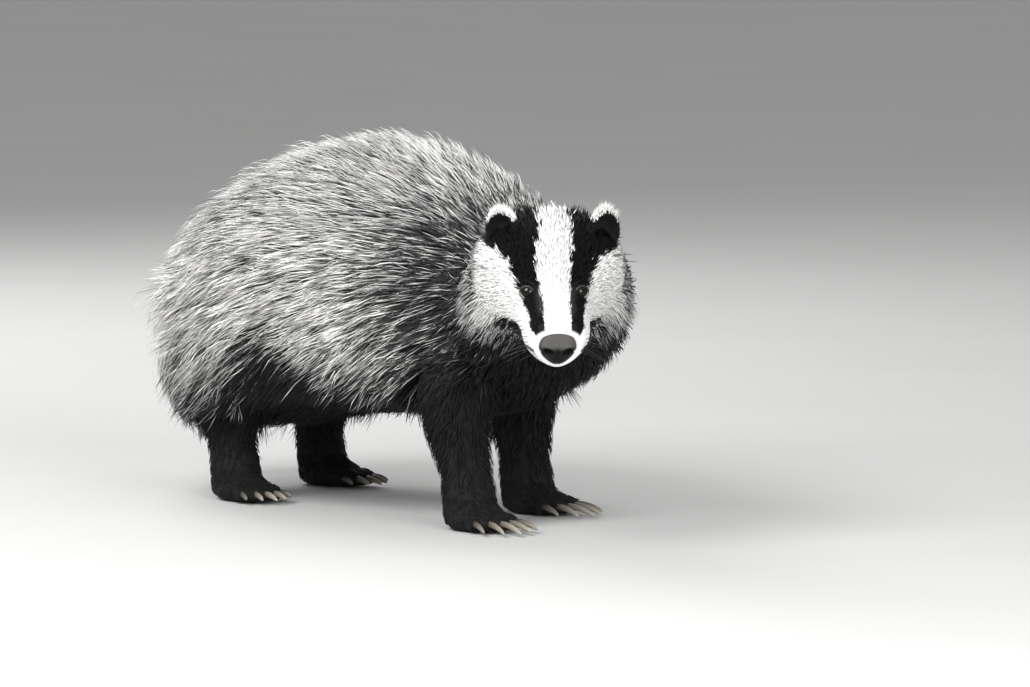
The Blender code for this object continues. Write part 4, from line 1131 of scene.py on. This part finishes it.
def nostrilRelief(l, u):
    # how far the pad's front moves at a place to the left of and above its middle
    relief = 0
    for side in (-1, 1):
        x, y = l * side - nose["nostrilAside"], u + 0.0022
        hole = math.hypot((x * 0.90 + y * 0.42) / 0.0042, (y * 0.90 - x * 0.42) / 0.0027)
        slit = math.hypot((l * side - nose["slitAside"]) / 0.0042, (u + 0.0046) / 0.0014)
        relief -= nose["nostrilDeep"] * float(1 - ease(0.55, 1.15, hole))
        relief -= nose["slitDeep"] * float(1 - ease(0.3, 1.1, slit))
        relief += nose["wing"] * math.exp(-((hole - 1.45) / 0.35) ** 2)
    return relief - nose["groove"] * math.exp(-(l / 0.0007) ** 2) * float(ease(0.003, -0.003, u))


def makeNose():
    bm = bmesh.new()
    bmesh.ops.create_icosphere(bm, subdivisions=6, radius=1)
    ahead, left, up = headWay(1, 0, 0.10), headAxes[1], headWay(-0.10, 0, 1)
    centre = headPoint(*nose["centre"])
    long, wide, tall = nose["size"]
    for vert in bm.verts:
        a, l, u = vert.co
        narrow = 1 - 0.26 * max(-u, 0) ** 1.5  # narrower below
        a, l, u = a * long, l * wide * narrow, u * tall
        # the front is cut flat, with a soft edge
        flat = nose["front"] - 0.42 * max(u - 0.001, 0) + 0.05 * min(u, 0) - 0.003
        if a > flat:
            a = flat + 0.0032 * math.tanh((a - flat) / 0.0032)
        if a > 0:
            a += nostrilRelief(l, u)
        vert.co = centre + ahead * a + left * l + up * u
    bmesh.ops.smooth_vert(bm, verts=bm.verts, factor=0.3, use_axis_x=True, use_axis_y=True, use_axis_z=True)

    def paint(points):
        # painted light and shade: paler on top, where the light falls, and black below, in shade
        height = (points - np.array(centre)) @ np.array(up) / tall
        return greys(0.004 + 0.082 * ease(-0.10, 0.22, height), 0.03)

    return finishPiece("nosePad", bm, paint)


nosePad = makeNose()


def tubeRing(centre, across, up, half, height, sides):
    turns = [math.tau * k / sides for k in range(sides)]
    return [centre + across * math.cos(turn) * half + up * math.sin(turn) * height for turn in turns]


mouth = {"from": 4.9, "to": 8.0, "steps": 24, "thick": 0.0007, "end": 0.0003}


def makeMouthLine():
    # the dark line between the lips, along both sides of the muzzle
    bm = bmesh.new()
    for side in (-1, 1):
        path = []
        for place in np.linspace(mouth["from"], mouth["to"], mouth["steps"]):
            behind, halfWidth, _, drop = rowAt(skull["rows"], place)
            over = 0.42 + 0.10 * math.sin((place - mouth["from"]) * 2.0)
            across = (1 - over ** (2 / 0.88)) ** 0.44
            less = skull["furAtNose"] + 0.0002
            path.append(headPoint(behind, side * (halfWidth - less) * across, -(drop - less) * over))
        rings = []
        for i, point in enumerate(path):
            ahead = (path[min(i + 1, len(path) - 1)] - path[max(i - 1, 0)]).normalized()
            out = point - headPoint(0.03, 0, -0.006)
            out = (out - ahead * out.dot(ahead)).normalized()
            size = mouth["thick"] if 0 < i < len(path) - 1 else mouth["end"]
            rings.append(tubeRing(point, out, ahead.cross(out), size * 1.3, size, 8))
        loftRings(bm, rings)
    return finishPiece("mouthLine", bm, paintDark)


mouthLine = makeMouthLine()

# whiskers: few, dark and springy, from the muzzle's sides, and stiff bristles on the cheeks
whisker = {"length": 0.038, "radius": 0.00026, "rows": 4, "inRow": 5, "seed": 88, "sides": 5, "sag": 0.22}
bristle = {"length": 0.019, "radius": 0.00042, "count": 8}


def addHair(bm, root, way, length, radius):
    rings = []
    sag = headWay(-0.6, 0, -0.8)
    up = way.cross(sag).normalized()
    for share in np.linspace(0, 0.8, 5).tolist():
        point = root + way * length * share + sag * length * whisker["sag"] * share * share
        size = radius * (1 - 0.75 * share)
        rings.append(tubeRing(point, up, up.cross(way), size, size, whisker["sides"]))
    loftRings(bm, rings, root + way * length + sag * length * whisker["sag"])


def onHead(place, degrees, side, share):
    # a place just under the head's outline
    behind, halfWidth, rise, drop = rowAt(skull["rows"], place)
    angle = math.radians(degrees)
    tall = rise if angle > 0 else drop
    return headPoint(behind, side * halfWidth * math.cos(angle) * share, tall * math.sin(angle) * share)


def makeWhiskers():
    rng = np.random.default_rng(whisker["seed"])
    bm = bmesh.new()
    for side in (-1, 1):
        for row in range(whisker["rows"]):
            for k in range(whisker["inRow"]):
                place = 5.6 + 0.45 * k + rng.uniform(-0.1, 0.1)
                root = onHead(place, 4 - 12 * row + rng.uniform(-3, 3), side, 0.96)
                back, drop = -0.25 + rng.uniform(-0.15, 0.15), -0.25 - 0.12 * row + rng.uniform(-0.1, 0.1)
                length = whisker["length"] * rng.uniform(0.55, 1.0)
                addHair(bm, root, headWay(back, side * 0.9, drop), length, whisker["radius"])
        for k in range(bristle["count"]):
            place = rng.uniform(1.0, 2.2)
            root = onHead(place, 32 - 8 * k + rng.uniform(-5, 5), side, 0.97)
            back, drop = -0.35 + rng.uniform(-0.25, 0.25), 0.10 - 0.09 * k + rng.uniform(-0.1, 0.1)
            length = bristle["length"] * rng.uniform(0.6, 1.0)
            addHair(bm, root, headWay(back, side, drop), length, bristle["radius"])
    return finishPiece("whiskers", bm, paintDark)


whiskers = makeWhiskers()


# claws: long, blunt and slightly curved, darker at the base
def clawRing(tip, ahead, length, share):
    down = Vector((0, 0, -1))
    across = ahead.cross(down)
    out = max(share, 0)  # how far along its bare stretch, for a claw starts inside the toe
    bend = math.radians(6 + 26 * out)
    centre = tip + ahead * length * share + down * length * 0.20 * share * share
    up = (ahead * math.cos(bend) + down * math.sin(bend)).cross(across)
    thick = feet["clawRadius"] * (1 - 0.10 * out - 0.52 * out ** 3)
    ring = []
    for k in range(feet["clawSides"]):
        angle = math.tau * k / feet["clawSides"]
        high = math.sin(angle) * (1.08 if math.sin(angle) > 0 else 0.82)
        point = centre + across * math.cos(angle) * thick * 0.72 + up * high * thick
        point.z = max(point.z, 0.0008)
        ring.append(point)
    return ring


def makeClaws(name, leg, foot):
    bm = bmesh.new()
    for spread in feet["spreads"]:
        tip, ahead = toeLine(leg, foot, spread)
        length = foot["claw"] * (1 - 0.22 * abs(spread))
        rings = [clawRing(tip, ahead, length, share) for share in np.linspace(-0.22, 0.93, 15).tolist()]
        loftRings(bm, rings, tip + ahead * length - Vector((0, 0, length * 0.20 + 0.0004)))

    def paint(points):
        forward, _ = footFrame(leg)
        far = (points - np.array((*leg[0], 0))) @ np.array(forward) - foot["reach"]
        tone = 0.035 + 0.23 * np.clip(far / foot["claw"] + 0.25, 0, 1)
        return np.stack([tone * 1.12, tone, tone * 0.82], axis=1)

    return finishPiece(name, bm, paint)


claws = {name: makeClaws(name + "Claws", legs[name], feet[kind]) for kind, rows, name in legList}
print("eyes, nose, mouth, whiskers and claws done")


# shader sheets: sockets that can be reckoned with in plain expressions
class Wire:
    def __init__(self, sheet, socket):
        self.sheet, self.socket = sheet, socket

    def reckon(self, operation, one, two):
        return self.sheet.node("ShaderNodeMath", {"operation": operation}, {0: one, 1: two})

    def __add__(self, other):
        return self.reckon("ADD", self, other)

    def __radd__(self, other):
        return self.reckon("ADD", other, self)

    def __sub__(self, other):
        return self.reckon("SUBTRACT", self, other)

    def __rsub__(self, other):
        return self.reckon("SUBTRACT", other, self)

    def __mul__(self, other):
        return self.reckon("MULTIPLY", self, other)

    def __rmul__(self, other):
        return self.reckon("MULTIPLY", other, self)


class Sheet:
    def __init__(self, name, **constants):
        self.material = bpy.data.materials.new(name)
        self.material.use_nodes = True
        self.tree = self.material.node_tree
        self.shader = self.tree.nodes["Principled BSDF"]
        for key, value in constants.items():
            self.shader.inputs[key.replace("_", " ")].default_value = value

    def node(self, kind, settings=None, inputs=None, output=0):
        made = self.tree.nodes.new(kind)
        for key, value in (settings or {}).items():
            if key == "stops":
                while len(made.color_ramp.elements) < len(value):
                    made.color_ramp.elements.new(0.5)
                for element, (place, grey) in zip(made.color_ramp.elements, value):
                    element.position = place
                    element.color = (grey, grey, grey, 1)
            else:
                setattr(made, key, value)
        for key, value in (inputs or {}).items():
            self.feed(made.inputs[key], value)
        return Wire(self, made.outputs[output])

    def feed(self, socket, value):
        if isinstance(value, Wire):
            self.tree.links.new(value.socket, socket)
        else:
            socket.default_value = value

    def into(self, name, value):
        self.feed(self.shader.inputs[name], value)

    def place(self):
        return self.node("ShaderNodeTexCoord", output=3)

    def noise(self, scale, detail=3.0, roughness=0.55):
        return self.node("ShaderNodeTexNoise", {}, {"Vector": self.place(), "Scale": scale, "Detail": detail,
                                                   "Roughness": roughness})

    def painted(self, shade):
        # the piece's own painted colour, times a grey that varies round 1
        colour = self.node("ShaderNodeAttribute", {"attribute_name": "coatColor"})
        self.into("Base Color", self.node("ShaderNodeMix", {"data_type": "RGBA", "blend_type": "MULTIPLY"},
                                          {0: 1.0, 6: colour, 7: shade}, 2))

    def bumped(self, height, strength, distance):
        self.into("Normal", self.node("ShaderNodeBump", {}, {"Strength": strength, "Distance": distance,
                                                             "Height": height}))


def coatMaterial(name, roughness, vary, scale):
    sheet = Sheet(name, Specular_IOR_Level=0.09)
    sheet.painted(1 - vary + sheet.noise(scale) * (2 * vary))
    sheet.into("Roughness", roughness - 0.08 + sheet.noise(scale * 3) * 0.16)
    return sheet.material


def skinMaterial():
    sheet = Sheet("skinUnderCoat", Specular_IOR_Level=0.2)
    sheet.painted(0.8 + sheet.noise(420) * 0.4)
    sheet.into("Roughness", 0.72 + sheet.noise(200) * 0.2)
    sheet.bumped(sheet.noise(1500, 5.0), 0.6, 0.0006)
    return sheet.material


def noseMaterial():
    sheet = Sheet("noseLeather", Specular_IOR_Level=0.15, Coat_Weight=0.06, Coat_Roughness=0.25)
    pebbles = sheet.node("ShaderNodeTexVoronoi", {"feature": "DISTANCE_TO_EDGE"},
                         {"Vector": sheet.place(), "Scale": 1150.0})
    raised = sheet.node("ShaderNodeValToRGB", {"stops": ((0.0, 0.0), (0.28, 1.0))}, {0: pebbles})
    grain = sheet.noise(900, 4.0)
    # painted shade: the grooves between the pebbles are painted darker than their tops
    sheet.painted(0.6 + raised * 0.5 + grain * 0.3)
    sheet.into("Roughness", 0.42 + grain * 0.18)
    sheet.bumped(raised + grain * 0.3, 0.7, 0.0004)
    return sheet.material


def eyeMaterial():
    sheet = Sheet("wetEye", Specular_IOR_Level=0.42, IOR=1.38, Roughness=0.04)
    sheet.painted(0.75 + sheet.noise(1400) * 0.5)
    return sheet.material


def lidMaterial():
    sheet = Sheet("lidSkin", Specular_IOR_Level=0.5)
    grain = sheet.noise(1800, 4.0)
    sheet.painted(0.6 + grain * 0.8)
    sheet.into("Roughness", 0.34 + grain * 0.2)
    sheet.bumped(grain, 0.35, 0.0003)
    return sheet.material


def clawMaterial():
    sheet = Sheet("clawHorn", Specular_IOR_Level=0.45)
    grain = sheet.noise(700, 5.0, 0.7)
    sheet.painted(0.65 + grain * 0.7)
    sheet.into("Roughness", 0.30 + grain * 0.25)
    sheet.bumped(grain, 0.3, 0.0003)
    return sheet.material


coatLook = coatMaterial("grizzledCoat", 0.62, 0.14, 220)
faceLook = coatMaterial("faceFur", 0.58, 0.05, 300)


def dress(obj, material, replaced=()):
    obj.data.materials.clear()
    obj.data.materials.append(material)
    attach(obj, "root")
    if replaced:
        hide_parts(*replaced)


fleshNodes = ["torso", "neck", "tail", "head", "ear_right", "ear_left"]
for part in ("leg", "foot"):
    for end in ("fore", "hind"):
        fleshNodes += [f"{end}{part}_right", f"{end}{part}_left"]
dress(skin, skinMaterial(), fleshNodes)
for piece in coatPieces:
    if piece.name.startswith(("bodyCoat", "tailCoat")):
        dress(piece, coatLook)
    elif piece.name.startswith(("headCoat", "cheekRuff", "napeCoat")):
        dress(piece, faceLook)
    else:
        dress(piece, faceLook)
wet = eyeMaterial()
for node, obj in eyes.items():
    dress(obj, wet, [node])
lidLook = lidMaterial()
for piece in (lids, mouthLine, whiskers):
    dress(piece, lidLook)
dress(nosePad, noseMaterial(), ["nose"])
horn = clawMaterial()
for kind, rows, name in legList:
    side = name[4:].lower()
    dress(claws[name], horn, [f"{kind}claw_{side}_{number}" for number in range(1, 6)])
print("pieces dressed")

# stage: pale floor, soft light from above and the camera at the photograph's angle
stage = {
    "azimuth": -38.0, "elevation": 6.0, "distance": 9.0, "pixelsPerMetre": 1130.0,
    "picture": (1030, 687), "aim": (407, 507),  # the pixel of the middle of the floor under the badger
    "sensor": 36.0, "floor": 60.0, "sky": (0.80, 0.62), "lampsAt": (0, -0.05, 0.18),
    # place, size and power
    "lamps": {"key": ((-2.1, -0.5, 1.8), 1.5, 90), "fill": ((-0.8, -3.0, 1.1), 1.6, 68),
              "rim": ((0.6, 2.2, 1.8), 1.4, 44)},
}


def makeFloor():
    bm = bmesh.new()
    bmesh.ops.create_grid(bm, x_segments=1, y_segments=1, size=stage["floor"])
    floor = objectOf("floor", bm)
    sheet = Sheet("paleFloor", Roughness=0.85, Specular_IOR_Level=0.1)
    pale = {0: sheet.noise(3.0), 6: (0.50, 0.50, 0.495, 1), 7: (0.54, 0.54, 0.535, 1)}
    sheet.into("Base Color", sheet.node("ShaderNodeMix", {"data_type": "RGBA"}, pale, 2))
    floor.data.materials.append(sheet.material)


def makeLight():
    grey, strength = stage["sky"]
    world = bpy.data.worlds.new("softSky")
    world.use_nodes = True
    sky = world.node_tree.nodes["Background"]
    sky.inputs["Color"].default_value = (grey, grey, grey, 1)
    sky.inputs["Strength"].default_value = strength
    bpy.context.scene.world = world
    for name, (place, size, power) in stage["lamps"].items():
        lamp = bpy.data.lights.new(name, "AREA")
        lamp.size = size
        lamp.energy = power
        obj = bpy.data.objects.new(name, lamp)
        bpy.context.scene.collection.objects.link(obj)
        obj.location = place
        aim = Vector(stage["lampsAt"]) - Vector(place)
        obj.rotation_euler = aim.to_track_quat("-Z", "Y").to_euler()


def makeCamera():
    a, e = math.radians(stage["azimuth"]), math.radians(stage["elevation"])
    right = Vector((math.cos(a), math.sin(a), 0))
    back = Vector((math.sin(a) * math.cos(e), -math.cos(a) * math.cos(e), math.sin(e)))
    (width, height), (aimX, aimY) = stage["picture"], stage["aim"]
    view = bpy.data.cameras.new("view")
    view.sensor_width = stage["sensor"]
    view.lens = stage["sensor"] * stage["distance"] / (width / stage["pixelsPerMetre"])
    view.clip_end = 200
    camera = bpy.data.objects.new("view", view)
    bpy.context.scene.collection.objects.link(camera)
    # the camera looks at the picture's middle, so the badger stands as far beside it as in the photograph
    aside = (right * (width / 2 - aimX) + back.cross(right) * (aimY - height / 2)) / stage["pixelsPerMetre"]
    camera.location = shift + back * stage["distance"]
    camera.rotation_euler = (back * stage["distance"] - aside).to_track_quat("Z", "Y").to_euler()
    bpy.context.scene.camera = camera
    bpy.context.scene.view_settings.view_transform = "Standard"


makeFloor()
makeLight()
makeCamera()
